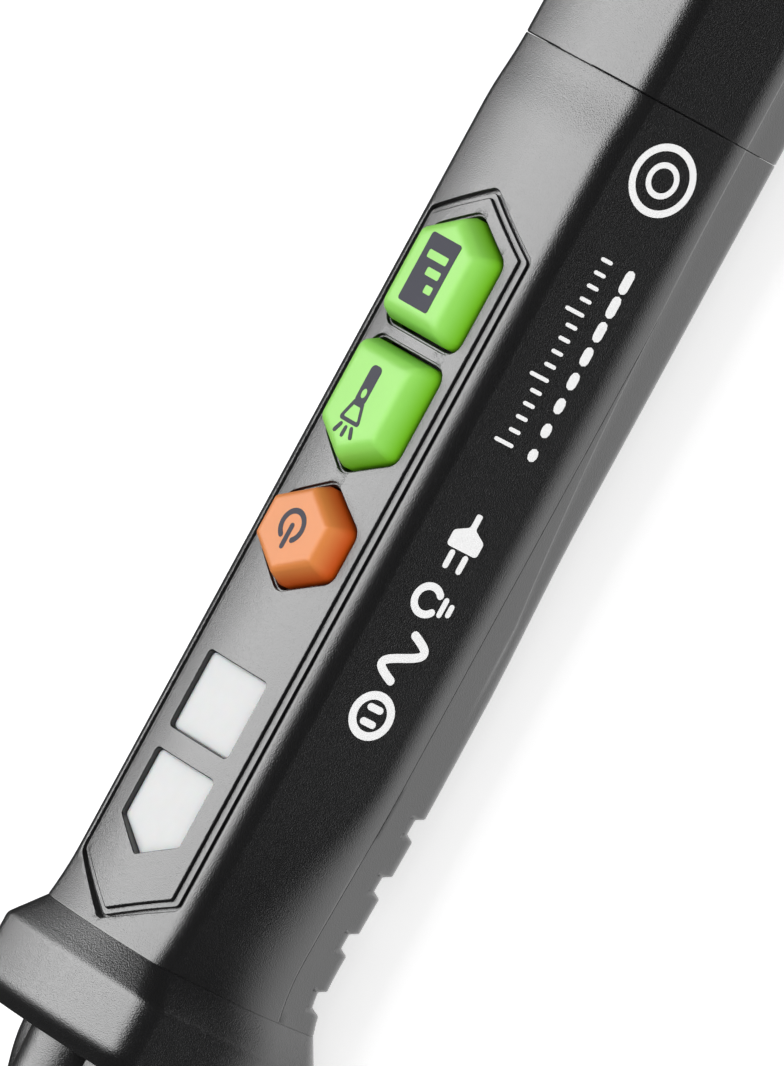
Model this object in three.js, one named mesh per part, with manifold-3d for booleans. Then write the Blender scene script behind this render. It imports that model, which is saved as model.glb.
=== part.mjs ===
// Pen-style non-contact voltage tester: two body shells, a raised control panel with three keys and two
// indicator windows, a finger guard, a probe nose with a torch, two AAA cells in line, and a pull-off end
// cap that carries a springing pocket clip.
// Millimetres. X runs from the sensing tip to the tail, Z is up, the control panel faces up, and Z = 0 is
// the plane that the guard and the clip lie on. A place along the tester is given as s, its distance from
// the tip, and at(s) is its X.
import * as THREE from "three";
import { mergeVertices } from "three/addons/utils/BufferGeometryUtils.js";
import Module from "manifold-3d";

const wasm = await Module();
wasm.setup();

// ---------------------------------------------------------------- driving dimensions
const LENGTH = 155;
const NOSE_LENGTH = 28.4;
const GUARD_LENGTH = 9.6;
const CAP_LENGTH = 36.7;
const GUARD_WIDTH = 25;
const BODY_WIDTH = 20.3;
const WALL = 1.6;
const SPLIT_DROP = 1.75;
const SPIGOT_WALL = 1.1;
const SPIGOT_LENGTH = 5;
const FIT = 0.1;
const LOOSE_FIT = 0.25;

const CELL_DIAMETER = 10.5;
const CELL_LENGTH = 44.5;
const CELL_NIPPLE = 0.9;
const SPRING_LENGTH = 3.6;
const SPRING_WIRE = 0.28;
const CONTACT_THICKNESS = 0.4;
const CONTACT_WIDTH = 8;

const CLIP_THICKNESS = 1.3;
const CLIP_GAP = 1.7;
const CLIP_WIDTH = 7;
const CLIP_REACH = 34;
const CLIP_MOUNT_LENGTH = 7;
const CLIP_SIDE_GAP = 0.8;

const BOARD_THICKNESS = 0.8;
const BOARD_WIDTH = 13;
const SWITCH_HEIGHT = 1.3;
const SWITCH_WIDTH = 4.6;
const PLUNGER_HEIGHT = 1.1;
const KEY_TRAVEL = 0.6;
const KEY_FLANGE = 0.7;
const KEY_HEIGHT = 1.9;
const KEY_WIDTH = 8.9;
const KEY_DRAFT = 0.75;
const KEY_GAP = 0.25;
const POWER_KEY_LENGTH = 9.3;
const LONG_KEY_LENGTH = 10.65;

const PANEL_THICKNESS = 1.9;
const PANEL_RISE = 0.2;
const RECESS_DEPTH = 0.25;
const RECESS_WIDTH = 13.7;
const CHANNEL = 0.95;
const LEDGE = 0.5;
const CROWN = 0.78;
const WINDOW_WIDTH = 8;
const WINDOW_DEPTH = 0.7;
const PENTAGON_LENGTH = 8.4;
const SQUARE_LENGTH = 7;
const WINDOW_MARGIN = 6;
const WINDOW_SPACING = 2;
const KEY_MARGIN = 7.25;
const KEY_SPACING = 1.6;
const LONG_KEY_SPACING = 1.85;
const PANEL_END_MARGIN = 2.8;
const LENS_REBATE = 0.5;

const LED_LENGTH = 3.2;
const LED_HEIGHT = 1.3;
const BAFFLE_WIDTH = 7;
const BAFFLE_WALL = 0.8;
const BUZZER_RADIUS = 3.4;
const BUZZER_HEIGHT = 3.2;

const SCREW_OFFSET = 5.6;
const SCREW_RADIUS = 0.9;
const SCREW_HEAD_RADIUS = 1.55;
const SCREW_HEAD_HEIGHT = 1.1;
const BOSS_RADIUS = 1.8;
const BOSS_HEIGHT = 6;

const FLARE = 0.8;
const FLARE_LENGTH = 5;
const GRIP_CLIMB = 2.4;
const GRIP_FADE = 18;
const SCOOP_DEPTH = 0.45;
const GROOVE_WIDTH = 1.8;
const GROOVE_PITCH = 5.4;
const GROOVE_DEPTH = 0.95;

const SEAL_LENGTH = 1.4;
const SEAL_DEPTH = 0.5;
const CAP_DIP = 0.5;
const CAP_DIP_LENGTH = 6.5;

const PROBE_LENGTH = 11;
const SENSOR_THICKNESS = 0.6;
const SENSOR_WIDTH = 4.4;
const LEAD_RADIUS = 0.4;
const TORCH_LENGTH = 9;
const TORCH_RADIUS = 3.9;
const TORCH_WALL = 0.9;
const REFLECTOR_LENGTH = 3.2;

// A hexagon's point is this share of its half width long.
const POINT = Math.tan(Math.PI / 6);

// ---------------------------------------------------------------- heights, from the resting plane up
const zChannelRoof = CLIP_THICKNESS + CLIP_GAP;
const zCell = zChannelRoof + SPIGOT_WALL + LOOSE_FIT + CELL_DIAMETER / 2;
const zBack = zChannelRoof - WALL;
const zWidest = zCell + 0.1;
const zSplit = zWidest - SPLIT_DROP;
const zBoard = zCell + CELL_DIAMETER / 2 + LOOSE_FIT;
const zBoardTop = zBoard + BOARD_THICKNESS;
const zSwitchTop = zBoardTop + SWITCH_HEIGHT;
const zFlange = zSwitchTop + PLUNGER_HEIGHT + FIT;
const zPanelUnder = zFlange + KEY_FLANGE + FIT;
const zPanelTop = zPanelUnder + PANEL_THICKNESS;
const zBodyTop = zPanelTop - PANEL_RISE;
const zRecessFloor = zBodyTop - RECESS_DEPTH;
const zLensTop = zPanelTop - WINDOW_DEPTH;
const zKeyTop = zPanelTop + KEY_HEIGHT;
const zProbe = zCell + 1.6;

// ---------------------------------------------------------------- places along the tester, from the tip
const at = (s) => s - LENGTH / 2;
const sGuard = NOSE_LENGTH;
const sBody = sGuard + GUARD_LENGTH;
const sCap = LENGTH - CAP_LENGTH;
const sSpigotEnd = sCap + SPIGOT_LENGTH;
const sCellTail = LENGTH - WALL - CONTACT_THICKNESS - SPRING_LENGTH;
const sCellMiddle = sCellTail - CELL_LENGTH;
const sCellNose = sCellMiddle - CELL_LENGTH;
const sBulkhead = sCellNose - CONTACT_THICKNESS - WALL;
const sRecess = sBody + 0.7;
const sPentagon = sRecess + WINDOW_MARGIN;
const sSquare = sPentagon + PENTAGON_LENGTH + WINDOW_SPACING;
const sPower = sSquare + SQUARE_LENGTH + KEY_MARGIN;
const sTorch = sPower + POWER_KEY_LENGTH + KEY_SPACING;
const sSense = sTorch + LONG_KEY_LENGTH + LONG_KEY_SPACING;
const sRecessEnd = sSense + LONG_KEY_LENGTH + PANEL_END_MARGIN;
const sScoop = sBody + 29;
const sGroove = sBody + 2.7;
const sScrew = sGroove + 1.5 * GROOVE_PITCH;
const sNoseSpigot = sBody + 3.4;
const sBoard = sNoseSpigot + 0.6;
const sBoardEnd = sRecessEnd - 1;

// ---------------------------------------------------------------- solids
// A manifold-3d solid of a closed three.js geometry.
function solid(geometry) {
  const g = geometry.clone();
  g.deleteAttribute("normal");
  g.deleteAttribute("uv");
  const merged = mergeVertices(g, 1e-5);
  return new wasm.Manifold(
    new wasm.Mesh({
      numProp: 3,
      vertProperties: merged.attributes.position.array,
      triVerts: new Uint32Array(merged.index.array),
    }),
  );
}

function geometryOf(made) {
  const m = made.getMesh();
  const g = new THREE.BufferGeometry();
  g.setAttribute("position", new THREE.BufferAttribute(Float32Array.from(m.vertProperties), 3));
  g.setIndex(new THREE.BufferAttribute(Uint32Array.from(m.triVerts), 1));
  const flat = g.toNonIndexed();
  flat.computeVertexNormals();
  return flat;
}

const join = (first, ...others) => others.reduce((sum, s) => sum.add(s), first);
const cut = (first, ...others) => others.reduce((rest, s) => rest.subtract(s), first);

// A block from place s0 to s1 along the tester.
function block(s0, s1, y0, y1, z0, z1) {
  const g = new THREE.BoxGeometry(s1 - s0, y1 - y0, z1 - z0);
  return solid(g.translate((at(s0) + at(s1)) / 2, (y0 + y1) / 2, (z0 + z1) / 2));
}

// A block centred across the tester.
const slab = (s0, s1, width, z0, z1) => block(s0, s1, -width / 2, width / 2, z0, z1);

// A round post from z0 up to z1, and a round bar from place s0 to s1, which may taper.
function post(s, y, z0, z1, radius, sides = 16) {
  const g = new THREE.CylinderGeometry(radius, radius, z1 - z0, sides).rotateX(Math.PI / 2);
  return solid(g.translate(at(s), y, (z0 + z1) / 2));
}

function bar(s0, s1, z, radius, sides = 24, endRadius = radius) {
  const g = new THREE.CylinderGeometry(endRadius, radius, s1 - s0, sides).rotateZ(-Math.PI / 2);
  return solid(g.translate(at((s0 + s1) / 2), 0, z));
}

// An outline of [x, y] points raised from z0 to z1.
function raised(points, z0, z1) {
  const shape = new THREE.Shape(points.map(([x, y]) => new THREE.Vector2(x, y)));
  const g = new THREE.ExtrudeGeometry(shape, { depth: z1 - z0, bevelEnabled: false, steps: 1 });
  return solid(g.translate(0, 0, z0));
}

// A closed body through rings that have the same number of points each, with flat ends.
function loft(rings) {
  const count = rings[0].length;
  const index = [];
  for (let low = 0; low < (rings.length - 1) * count; low += count) {
    for (let i = 0; i < count; i++) {
      const j = (i + 1) % count;
      index.push(low + i, low + j, low + count + j, low + i, low + count + j, low + count + i);
    }
  }
  const last = (rings.length - 1) * count;
  for (let i = 1; i < count - 1; i++) {
    index.push(0, i + 1, i, last, last + i, last + i + 1);
  }
  const g = new THREE.BufferGeometry();
  g.setAttribute("position", new THREE.Float32BufferAttribute(rings.flat(2), 3));
  g.setIndex(index);
  const made = solid(g);
  return made.volume() > 0 ? made : solid(g.setIndex(index.reverse()));
}

// A [radius, s] profile that starts and ends on the axis, turned round a line along X at height z.
function turned(profile, z, sides) {
  const points = profile.map(([r, s]) => new THREE.Vector2(r, at(s)));
  return solid(new THREE.LatheGeometry(points, sides).rotateZ(-Math.PI / 2).translate(0, 0, z));
}

// A round wire along a curve.
function wire(curve, radius, steps) {
  const shape = new THREE.Shape().absarc(0, 0, radius, 0, 2 * Math.PI, false);
  const section = new THREE.Shape(shape.getPoints(4));
  return solid(new THREE.ExtrudeGeometry(section, { steps, bevelEnabled: false, extrudePath: curve }));
}

function route(points) {
  return new THREE.CatmullRomCurve3(points.map(([s, y, z]) => new THREE.Vector3(at(s), y, z)));
}

// ---------------------------------------------------------------- cross-sections
function smooth(t) {
  const c = Math.min(1, Math.max(0, t));
  return c * c * (3 - 2 * c);
}

// A closed loop of [y, z]: a crowned top, rounded top corners, sides that lean out to the widest line and in
// again below it, a step inwards under a ridge, and rounded bottom corners.
function section(p) {
  const half = [];
  for (let i = 0; i <= 3; i++) half.push([(p.topHalf * i) / 3, p.top - (p.crown * i * i) / 9]);
  const lean = Math.atan2(2 * p.crown, p.topHalf);
  const steep = THREE.MathUtils.degToRad(80);
  const topY = p.topHalf - p.topRadius * Math.sin(lean);
  const topZ = p.top - p.crown - p.topRadius * Math.cos(lean);
  for (let i = 1; i <= 3; i++) {
    const a = lean + ((steep - lean) * i) / 3;
    half.push([topY + p.topRadius * Math.sin(a), topZ + p.topRadius * Math.cos(a)]);
  }
  const sideAt = (z) => p.half - p.draft * (p.wide - z);
  half.push([p.half - 0.15, p.wide + 1.2], [p.half, p.wide - 0.1], [sideAt(p.wide - 1.4), p.wide - 1.4]);
  const lowZ = p.bottom + p.bottomRadius;
  const ridge = Math.max(p.ridge, lowZ + 0.6);
  half.push([sideAt(ridge), ridge], [sideAt(ridge - 0.4) - p.scoop, ridge - 0.4]);
  const low = Math.atan(p.draft);
  const lowY = sideAt(lowZ) - p.scoop - p.bottomRadius / Math.cos(low);
  for (let i = 0; i <= 4; i++) {
    const a = low + ((Math.PI / 2 - low) * i) / 4;
    half.push([lowY + p.bottomRadius * Math.cos(a), lowZ - p.bottomRadius * Math.sin(a)]);
  }
  half.push([0, p.bottom]);
  const mirrored = half.slice(1, -1).reverse();
  return [...half, ...mirrored.map(([y, z]) => [-y, z])];
}

const BODY = {
  top: zBodyTop,
  topHalf: RECESS_WIDTH / 2,
  crown: CROWN,
  topRadius: 2.2,
  half: BODY_WIDTH / 2,
  wide: zWidest,
  draft: 0.2126,
  ridge: zBack + 2.5,
  scoop: 0,
  bottom: zBack,
  bottomRadius: 2.2,
};

// The body's section at place s. It flares to meet the guard, where its widest line also climbs to give a
// fuller grip. Towards the tail its lower sides are scooped out below a ridge that climbs, and its top dips
// to meet the cap.
function bodySection(s) {
  const near = Math.max(0, (sBody + FLARE_LENGTH - s) / FLARE_LENGTH);
  const flare = FLARE * near * near;
  const left = Math.max(0, 1 - (s - sScoop) / (sCap - sScoop));
  return section({
    ...BODY,
    top: BODY.top + 0.6 * flare - CAP_DIP * smooth((s - sCap + CAP_DIP_LENGTH) / CAP_DIP_LENGTH),
    topHalf: BODY.topHalf + 0.4 * flare,
    half: BODY.half + flare,
    wide: BODY.wide + GRIP_CLIMB * (1 - smooth((s - sBody - 4) / GRIP_FADE)),
    ridge: zCell - 1.9 - 5 * left * left,
    scoop: SCOOP_DEPTH * smooth((s - sScoop) / 18),
    bottom: BODY.bottom - 0.5 * flare,
  });
}

// A loop moved in by d, each point along the mean of its two edges' normals.
function inset(loop, d) {
  const normal = ([ay, az], [by, bz]) => {
    const long = Math.hypot(by - ay, bz - az);
    return [(bz - az) / long, (ay - by) / long];
  };
  return loop.map((p, i) => {
    const [ay, az] = normal(loop.at(i - 1), p);
    const [by, bz] = normal(p, loop[(i + 1) % loop.length]);
    const k = (2 * d) / ((ay + by) ** 2 + (az + bz) ** 2);
    return [p[0] + k * (ay + by), p[1] + k * (az + bz)];
  });
}

const ring = (s, loop) => loop.map(([y, z]) => [at(s), y, z]);
const bodyLoft = (stations, d) => loft(stations.map((s) => ring(s, inset(bodySection(s), d))));
const scaled = (loop, k, z) => loop.map(([y, h]) => [y * k, z + (h - z) * k]);
const mixed = (a, b, t) => a.map(([y, z], i) => [y + (b[i][0] - y) * t, z + (b[i][1] - z) * t]);

// A long hexagon along X from s0 to s1, square at an end that has no point.
function pointed(s0, s1, half, nosePoint = true, tailPoint = true) {
  const end = (s, inward, side, point) => {
    const corner = at(s + (point ? inward * half * POINT : 0));
    const apex = point ? [[at(s), 0]] : [];
    return [[corner, side * half], ...apex, [corner, -side * half]];
  };
  return [...end(s0, 1, 1, nosePoint), ...end(s1, -1, -1, tailPoint)];
}

// ---------------------------------------------------------------- the object and its materials
const tester = new THREE.Group();
const finish = (color, roughness, metalness = 0) =>
  new THREE.MeshStandardMaterial({ color, roughness, metalness });
const blackPlastic = finish(0x1b1b1c, 0.38);
const greenPlastic = finish(0x8fe04a, 0.4);
const orangePlastic = finish(0xe8782c, 0.4);
const whitePlastic = finish(0xf2f2f0, 0.3);
const clearPlastic = finish(0xe6eef2, 0.08);
const rubber = finish(0x222222, 0.8);
const boardGreen = finish(0x1f6b3a, 0.5);
const chipBlack = finish(0x161616, 0.5);
const steel = finish(0xc9cbcd, 0.3, 1);
const copper = finish(0xc97a4a, 0.35, 1);
const cellWrap = finish(0x3b4f78, 0.35);

function add(name, made, material) {
  const mesh = new THREE.Mesh(geometryOf(made), material);
  mesh.name = name;
  tester.add(mesh);
}

const REACH = BODY_WIDTH + GUARD_WIDTH;
const above = (z) => slab(0, LENGTH, 2 * REACH, z, z + REACH);
const below = (z) => slab(0, LENGTH, 2 * REACH, z - REACH, z);
const sides = [-1, 1];

// ---------------------------------------------------------------- body shells
const recessHalf = RECESS_WIDTH / 2;
const panelHalf = recessHalf - CHANNEL;
const openingHalf = panelHalf - LEDGE;
const along = (d) => pointed(sRecess + d, sRecessEnd - d, recessHalf - d);
const crowned = (s0, s1, top) => loft([s0, s1].map((s) => ring(s, section({ ...BODY, top }))));
const openingCut = raised(along(CHANNEL + LEDGE), zSplit, zKeyTop);
const recessCut = raised(along(0), zSplit, zKeyTop).subtract(crowned(sBody, sCap, zRecessFloor));

const bodyStations = [0, 1.2, 2.6, FLARE_LENGTH, 9, 13, 17, 22, 29, 35, 41, 48, 58, 70].map((d) => sBody + d);
const sThick = sCap - CAP_DIP_LENGTH;
const bay = (d) => bodyLoft([sBody - 1, sBody + FLARE_LENGTH, sBody + GRIP_FADE, sThick], d);
const groove = (s0, s1, from, to) => cut(bodyLoft([s0, s1], from), bodyLoft([s0 - 1, s1 + 1], to));
const sSeal = sCap + 1.6;
const walls = cut(
  join(
    bodyLoft([...bodyStations.filter((s) => s < sThick), sThick, sThick + CAP_DIP_LENGTH / 2, sCap], 0),
    bodyLoft([sCap - 1, sSpigotEnd], WALL),
  ),
  bay(WALL),
  bodyLoft([sThick - 1, sCap, sSpigotEnd + 1], WALL + SPIGOT_WALL),
  groove(sSeal, sSeal + SEAL_LENGTH, WALL - FIT, WALL + SEAL_DEPTH),
);
const channelWidth = CLIP_WIDTH + 2 * CLIP_SIDE_GAP;
const sClipTip = LENGTH - CLIP_MOUNT_LENGTH - CLIP_REACH;
const clipChannel = slab(sClipTip - 1, LENGTH + 1, channelWidth, -REACH, zChannelRoof);
const zBossEnd = zBack + BOSS_HEIGHT;
const bossTop = zPanelUnder - 2 * FIT;
const atScrews = (z0, z1, radius, facets = 16) =>
  sides.map((side) => post(sScrew, side * SCREW_OFFSET, z0, z1, radius, facets));
const bossRoom = join(above(zSplit + FIT / 2), bay(WALL + LOOSE_FIT));
const frontBosses = atScrews(zBossEnd, bossTop, BOSS_RADIUS).map((boss) => boss.intersect(bossRoom));

const upperWalls = cut(walls.intersect(above(zSplit + FIT / 2)), recessCut, openingCut);
add(
  "front_shell",
  cut(join(upperWalls, ...frontBosses), ...atScrews(zBack, zBossEnd + 4, SCREW_RADIUS + FIT, 12)),
  blackPlastic,
);

const skin = bay(WALL / 2);
const backBosses = atScrews(zBack + 1, zBossEnd - FIT, BOSS_RADIUS + 0.5).map((boss) => boss.intersect(skin));
const cradles = [12, 42, 50].map((d) => {
  const rib = slab(sCellNose + d, sCellNose + d + 1.2, BODY_WIDTH, zBack + 1, zCell - 2);
  return rib.intersect(bodyLoft([sBody, sCap], WALL / 2));
});
const bulkhead = slab(sBulkhead, sBulkhead + WALL, 11, zBack + 1, zBoard - LOOSE_FIT);
const grooves = [0, 1, 2, 3].map((i) => {
  const s = sGroove + GROOVE_PITCH * i;
  const across = slab(s - GROOVE_WIDTH / 2, s + GROOVE_WIDTH / 2, 2 * REACH, -REACH, zBack + 3);
  return across.subtract(bodyLoft([s - GROOVE_WIDTH, s + GROOVE_WIDTH], GROOVE_DEPTH));
});
const soundHoles = [-2, 0, 2].map((y) => post(sGroove + GROOVE_PITCH / 2, y, zBack - 1, zBack + 3, 0.5, 10));
add(
  "back_shell",
  cut(
    join(walls.intersect(below(zSplit - FIT / 2)), ...backBosses, ...cradles, bulkhead),
    bar(sCellNose - FIT, sCap, zCell, CELL_DIAMETER / 2 + LOOSE_FIT),
    clipChannel,
    ...atScrews(zBack - 1, zBossEnd, SCREW_RADIUS + FIT, 12),
    ...atScrews(-REACH, zBack + SCREW_HEAD_HEIGHT + FIT, SCREW_HEAD_RADIUS + FIT),
    ...grooves,
    ...soundHoles,
  ),
  blackPlastic,
);

// ---------------------------------------------------------------- control panel, windows and keys
const pentagon = (grow) => {
  const half = WINDOW_WIDTH / 2 + grow;
  return pointed(sPentagon - grow, sPentagon + PENTAGON_LENGTH + grow, half, true, false);
};
const square = (grow) => {
  const half = WINDOW_WIDTH / 2 + grow;
  return pointed(sSquare - grow, sSquare + SQUARE_LENGTH + grow, half, false, false);
};
const windowCut = (loop) =>
  join(raised(loop(0), zPanelUnder - 1, zKeyTop), raised(loop(LENS_REBATE), zPanelUnder - 1, zLensTop));

const KEYS = [
  { name: "power", color: orangePlastic, s0: sPower, length: POWER_KEY_LENGTH, nose: true, tail: true },
  { name: "torch", color: greenPlastic, s0: sTorch, length: LONG_KEY_LENGTH, nose: true, tail: false },
  { name: "sensitivity", color: greenPlastic, s0: sSense, length: LONG_KEY_LENGTH, nose: false, tail: true },
];
const keyHalf = KEY_WIDTH / 2;
const keyLoop = (key, grow) =>
  pointed(key.s0 - grow, key.s0 + key.length + grow, keyHalf + grow, key.nose, key.tail);
const middle = (key) => key.s0 + key.length / 2;

const panelPlate = raised(along(CHANNEL), zPanelUnder, zKeyTop)
  .intersect(crowned(sBody, sCap, zPanelTop))
  .subtract(crowned(sBody - 1, sCap + 1, zRecessFloor + FIT));
const panelPlug = raised(along(CHANNEL + LEDGE + FIT), zPanelUnder, zRecessFloor + 2 * FIT).intersect(
  crowned(sBody, sCap, zPanelTop - FIT),
);
add(
  "control_panel",
  cut(
    join(panelPlate, panelPlug),
    windowCut(pentagon),
    windowCut(square),
    ...KEYS.map((key) => raised(keyLoop(key, KEY_GAP), zPanelUnder - 1, zKeyTop)),
  ),
  blackPlastic,
);
const lens = (loop) => raised(loop(LENS_REBATE - FIT), zPanelUnder + 2 * FIT, zLensTop - FIT);
add("high_alert_window", lens(pentagon), whitePlastic);
add("low_alert_window", lens(square), whitePlastic);

function keySolid(key) {
  const layer = (z, grow) => keyLoop(key, grow).map(([x, y]) => [x, y, z]);
  const cap = loft([
    layer(zFlange, 0),
    layer(zPanelTop, 0),
    layer(zKeyTop - 0.5, -0.5 * KEY_DRAFT),
    layer(zKeyTop, -KEY_DRAFT - 0.3),
  ]);
  const tip = keyHalf * POINT;
  const end = key.s0 + key.length;
  const wings = block(
    key.nose ? key.s0 + tip : key.s0,
    key.tail ? end - tip : end,
    -openingHalf + LOOSE_FIT,
    openingHalf - LOOSE_FIT,
    zFlange,
    zFlange + KEY_FLANGE,
  );
  return join(cap, wings);
}

const plungerRadius = 0.25 * SWITCH_WIDTH;
const zPlunger = zSwitchTop - KEY_TRAVEL / 2 + FIT;
KEYS.forEach((key) => {
  const s = middle(key);
  const base = slab(s - SWITCH_WIDTH / 2, s + SWITCH_WIDTH / 2, SWITCH_WIDTH, zBoardTop + FIT, zSwitchTop);
  const bore = post(s, 0, zPlunger - KEY_TRAVEL - FIT, zKeyTop, plungerRadius + FIT);
  add(`${key.name}_key`, keySolid(key), key.color);
  add(`${key.name}_switch`, cut(base, bore), chipBlack);
  add(`${key.name}_plunger`, post(s, 0, zPlunger, zFlange - FIT, plungerRadius), whitePlastic);
});

const gasket = slab(
  sPower - 1,
  sSense + LONG_KEY_LENGTH,
  BOARD_WIDTH - 1,
  zSwitchTop + FIT,
  zFlange - KEY_TRAVEL - FIT,
);
add(
  "key_gasket",
  cut(gasket, ...KEYS.map((key) => post(middle(key), 0, zBoardTop, zKeyTop, plungerRadius + 0.6))),
  rubber,
);

// ---------------------------------------------------------------- circuit board and what it carries
const notches = atScrews(zBoard - 1, zBoardTop + 1, BOSS_RADIUS + LOOSE_FIT);
add("circuit_board", cut(slab(sBoard, sBoardEnd, BOARD_WIDTH, zBoard, zBoardTop), ...notches), boardGreen);

const onBoard = (s, long, wide, high) =>
  slab(s - long / 2, s + long / 2, wide, zBoardTop + FIT, zBoardTop + FIT + high);
const sHighLed = sPentagon + 0.6 * PENTAGON_LENGTH;
const sLowLed = sSquare + SQUARE_LENGTH / 2;
const led = (s) =>
  join(onBoard(s, LED_LENGTH, LED_LENGTH - 0.4, LED_HEIGHT / 2), onBoard(s, 2.2, 2.2, LED_HEIGHT));
add("high_alert_led", led(sHighLed), clearPlastic);
add("low_alert_led", led(sLowLed), clearPlastic);
const baffleHigh = zPanelUnder - zBoardTop - 2 * FIT;
const baffleStart = sPentagon + 1.2;
const baffleEnd = sSquare + SQUARE_LENGTH;
const lightWell = (s0, s1) => slab(s0, s1, BAFFLE_WIDTH - 2 * BAFFLE_WALL, zBoard, zKeyTop);
add(
  "light_baffle",
  cut(
    onBoard((baffleStart + baffleEnd) / 2, baffleEnd - baffleStart, BAFFLE_WIDTH, baffleHigh),
    lightWell(baffleStart + BAFFLE_WALL, sPentagon + PENTAGON_LENGTH + LENS_REBATE),
    lightWell(sSquare - LENS_REBATE, baffleEnd - BAFFLE_WALL),
  ),
  blackPlastic,
);
add("control_chip", onBoard(baffleEnd + 3.4, 4.8, 4, 1.2), chipBlack);
add("sense_amplifier", onBoard(sBoard + 1.8, 2.6, 3, 1), chipBlack);

const sBuzzer = sBoard + BUZZER_RADIUS + 0.2;
add(
  "buzzer",
  cut(
    post(sBuzzer, 0, zBoard - FIT - BUZZER_HEIGHT, zBoard - FIT, BUZZER_RADIUS, 24),
    post(sBuzzer, 0, zBoard - BUZZER_HEIGHT - 1, zBoard - BUZZER_HEIGHT + 0.8, 0.9, 12),
  ),
  chipBlack,
);

// ---------------------------------------------------------------- cells and their contacts
const cellRadius = CELL_DIAMETER / 2;
function cellSolid(s0) {
  const can = s0 + CELL_NIPPLE;
  const end = s0 + CELL_LENGTH - FIT;
  const profile = [
    [0, s0],
    [1.8, s0],
    [1.8, can],
    [cellRadius - 0.5, can],
    [cellRadius, can + 0.5],
    [cellRadius, end - 0.4],
    [cellRadius - 0.4, end],
    [0, end],
  ];
  return turned(profile, zCell, 24);
}
add("front_cell", cellSolid(sCellNose), cellWrap);
add("rear_cell", cellSolid(sCellMiddle), cellWrap);

const sContact = sCellNose - CONTACT_THICKNESS;
const contact = slab(sContact, sCellNose - FIT, CONTACT_WIDTH, zCell - CONTACT_WIDTH / 2, zBoard - FIT);
add("front_contact", contact, steel);
const stripY = cellRadius + LOOSE_FIT + FIT;
const stripEdge = stripY + CONTACT_THICKNESS;
const sRiser = sBoardEnd + 1;
add(
  "return_strip",
  join(
    block(sRiser, sSpigotEnd, stripY, stripEdge, zCell - 0.2, zCell + 1.6),
    block(sRiser, sRiser + 2, stripY, stripEdge, zCell, zBoard - FIT),
    block(sBoardEnd - 4, sRiser + 2, stripY - 1, stripEdge, zBoard - FIT - CONTACT_THICKNESS, zBoard - FIT),
  ),
  steel,
);

// A conical contact spring along X.
class ConeSpring extends THREE.Curve {
  constructor(s0, s1, r0, r1, turns) {
    super();
    Object.assign(this, { s0, s1, r0, r1, turns });
  }
  getPoint(t, target = new THREE.Vector3()) {
    const a = 2 * Math.PI * this.turns * t;
    const r = this.r0 + (this.r1 - this.r0) * t;
    return target.set(at(this.s0 + (this.s1 - this.s0) * t), r * Math.cos(a), zCell + r * Math.sin(a));
  }
}
const sCapPlate = LENGTH - WALL - CONTACT_THICKNESS;
const coil = new ConeSpring(sCellTail + SPRING_WIRE + FIT, sCapPlate - SPRING_WIRE - FIT, 1.4, 3.6, 2.5);
add("cap_contact_spring", wire(coil, SPRING_WIRE, 40), steel);
add("cap_contact_plate", bar(sCapPlate, LENGTH - WALL - FIT, zCell, 4.4), steel);

// ---------------------------------------------------------------- end cap and its seal
const mouth = bodySection(sCap);
const capRing = (s, d, k) => ring(s, scaled(inset(mouth, d), k, zCell));
const capOuter = loft([
  capRing(sCap + 2 * FIT, 0, 1),
  capRing(LENGTH - 9, 0, 0.99),
  capRing(LENGTH - 3.2, 0, 0.95),
  capRing(LENGTH - 1, 0, 0.89),
  capRing(LENGTH, 0, 0.8),
]);
const capInside = join(
  loft([capRing(sCap - 1, WALL - FIT, 1), capRing(sSpigotEnd + LOOSE_FIT, WALL - FIT, 1)]),
  bar(sSpigotEnd, LENGTH - WALL, zCell, cellRadius + LOOSE_FIT),
);
add("end_cap", cut(capOuter, capInside, clipChannel), blackPlastic);
add(
  "cap_seal",
  groove(sSeal + FIT, sSeal + SEAL_LENGTH - FIT, WALL + FIT / 2, WALL + SEAL_DEPTH - FIT),
  rubber,
);

// ---------------------------------------------------------------- pocket clip
const clipHalf = CLIP_WIDTH / 2;
const sMount = LENGTH - CLIP_MOUNT_LENGTH;
const sMountEnd = LENGTH - 3;
const sClipScrew = (sMount + sMountEnd) / 2;
const zClipSkin = 0.25;
add(
  "clip_mount",
  cut(
    block(sMount, sMountEnd, -clipHalf, clipHalf, zClipSkin, zChannelRoof - FIT),
    post(sClipScrew, 0, -1, zChannelRoof + 1, SCREW_RADIUS + FIT, 12),
    post(sClipScrew, 0, -1, zClipSkin + SCREW_HEAD_HEIGHT, SCREW_HEAD_RADIUS + FIT),
  ),
  blackPlastic,
);
const sArm = sMount - LOOSE_FIT;
const armProfile = [
  [sArm, zClipSkin],
  [sArm - 4, 0],
  [sClipTip + 1.6, 0],
  [sClipTip, 0.6 * CLIP_THICKNESS],
  [sClipTip, CLIP_THICKNESS + 0.4 * CLIP_GAP],
  [sClipTip + 2, CLIP_THICKNESS + 0.8 * CLIP_GAP],
  [sClipTip + 4.6, CLIP_THICKNESS],
  [sArm - 5, CLIP_THICKNESS],
  [sArm, zChannelRoof - LOOSE_FIT],
];
const armShape = new THREE.Shape(armProfile.map(([s, z]) => new THREE.Vector2(at(s), z)));
const armGeometry = new THREE.ExtrudeGeometry(armShape, { depth: CLIP_WIDTH, bevelEnabled: false, steps: 1 });
add("pocket_clip", solid(armGeometry.rotateX(Math.PI / 2).translate(0, clipHalf, 0)), blackPlastic);

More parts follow.
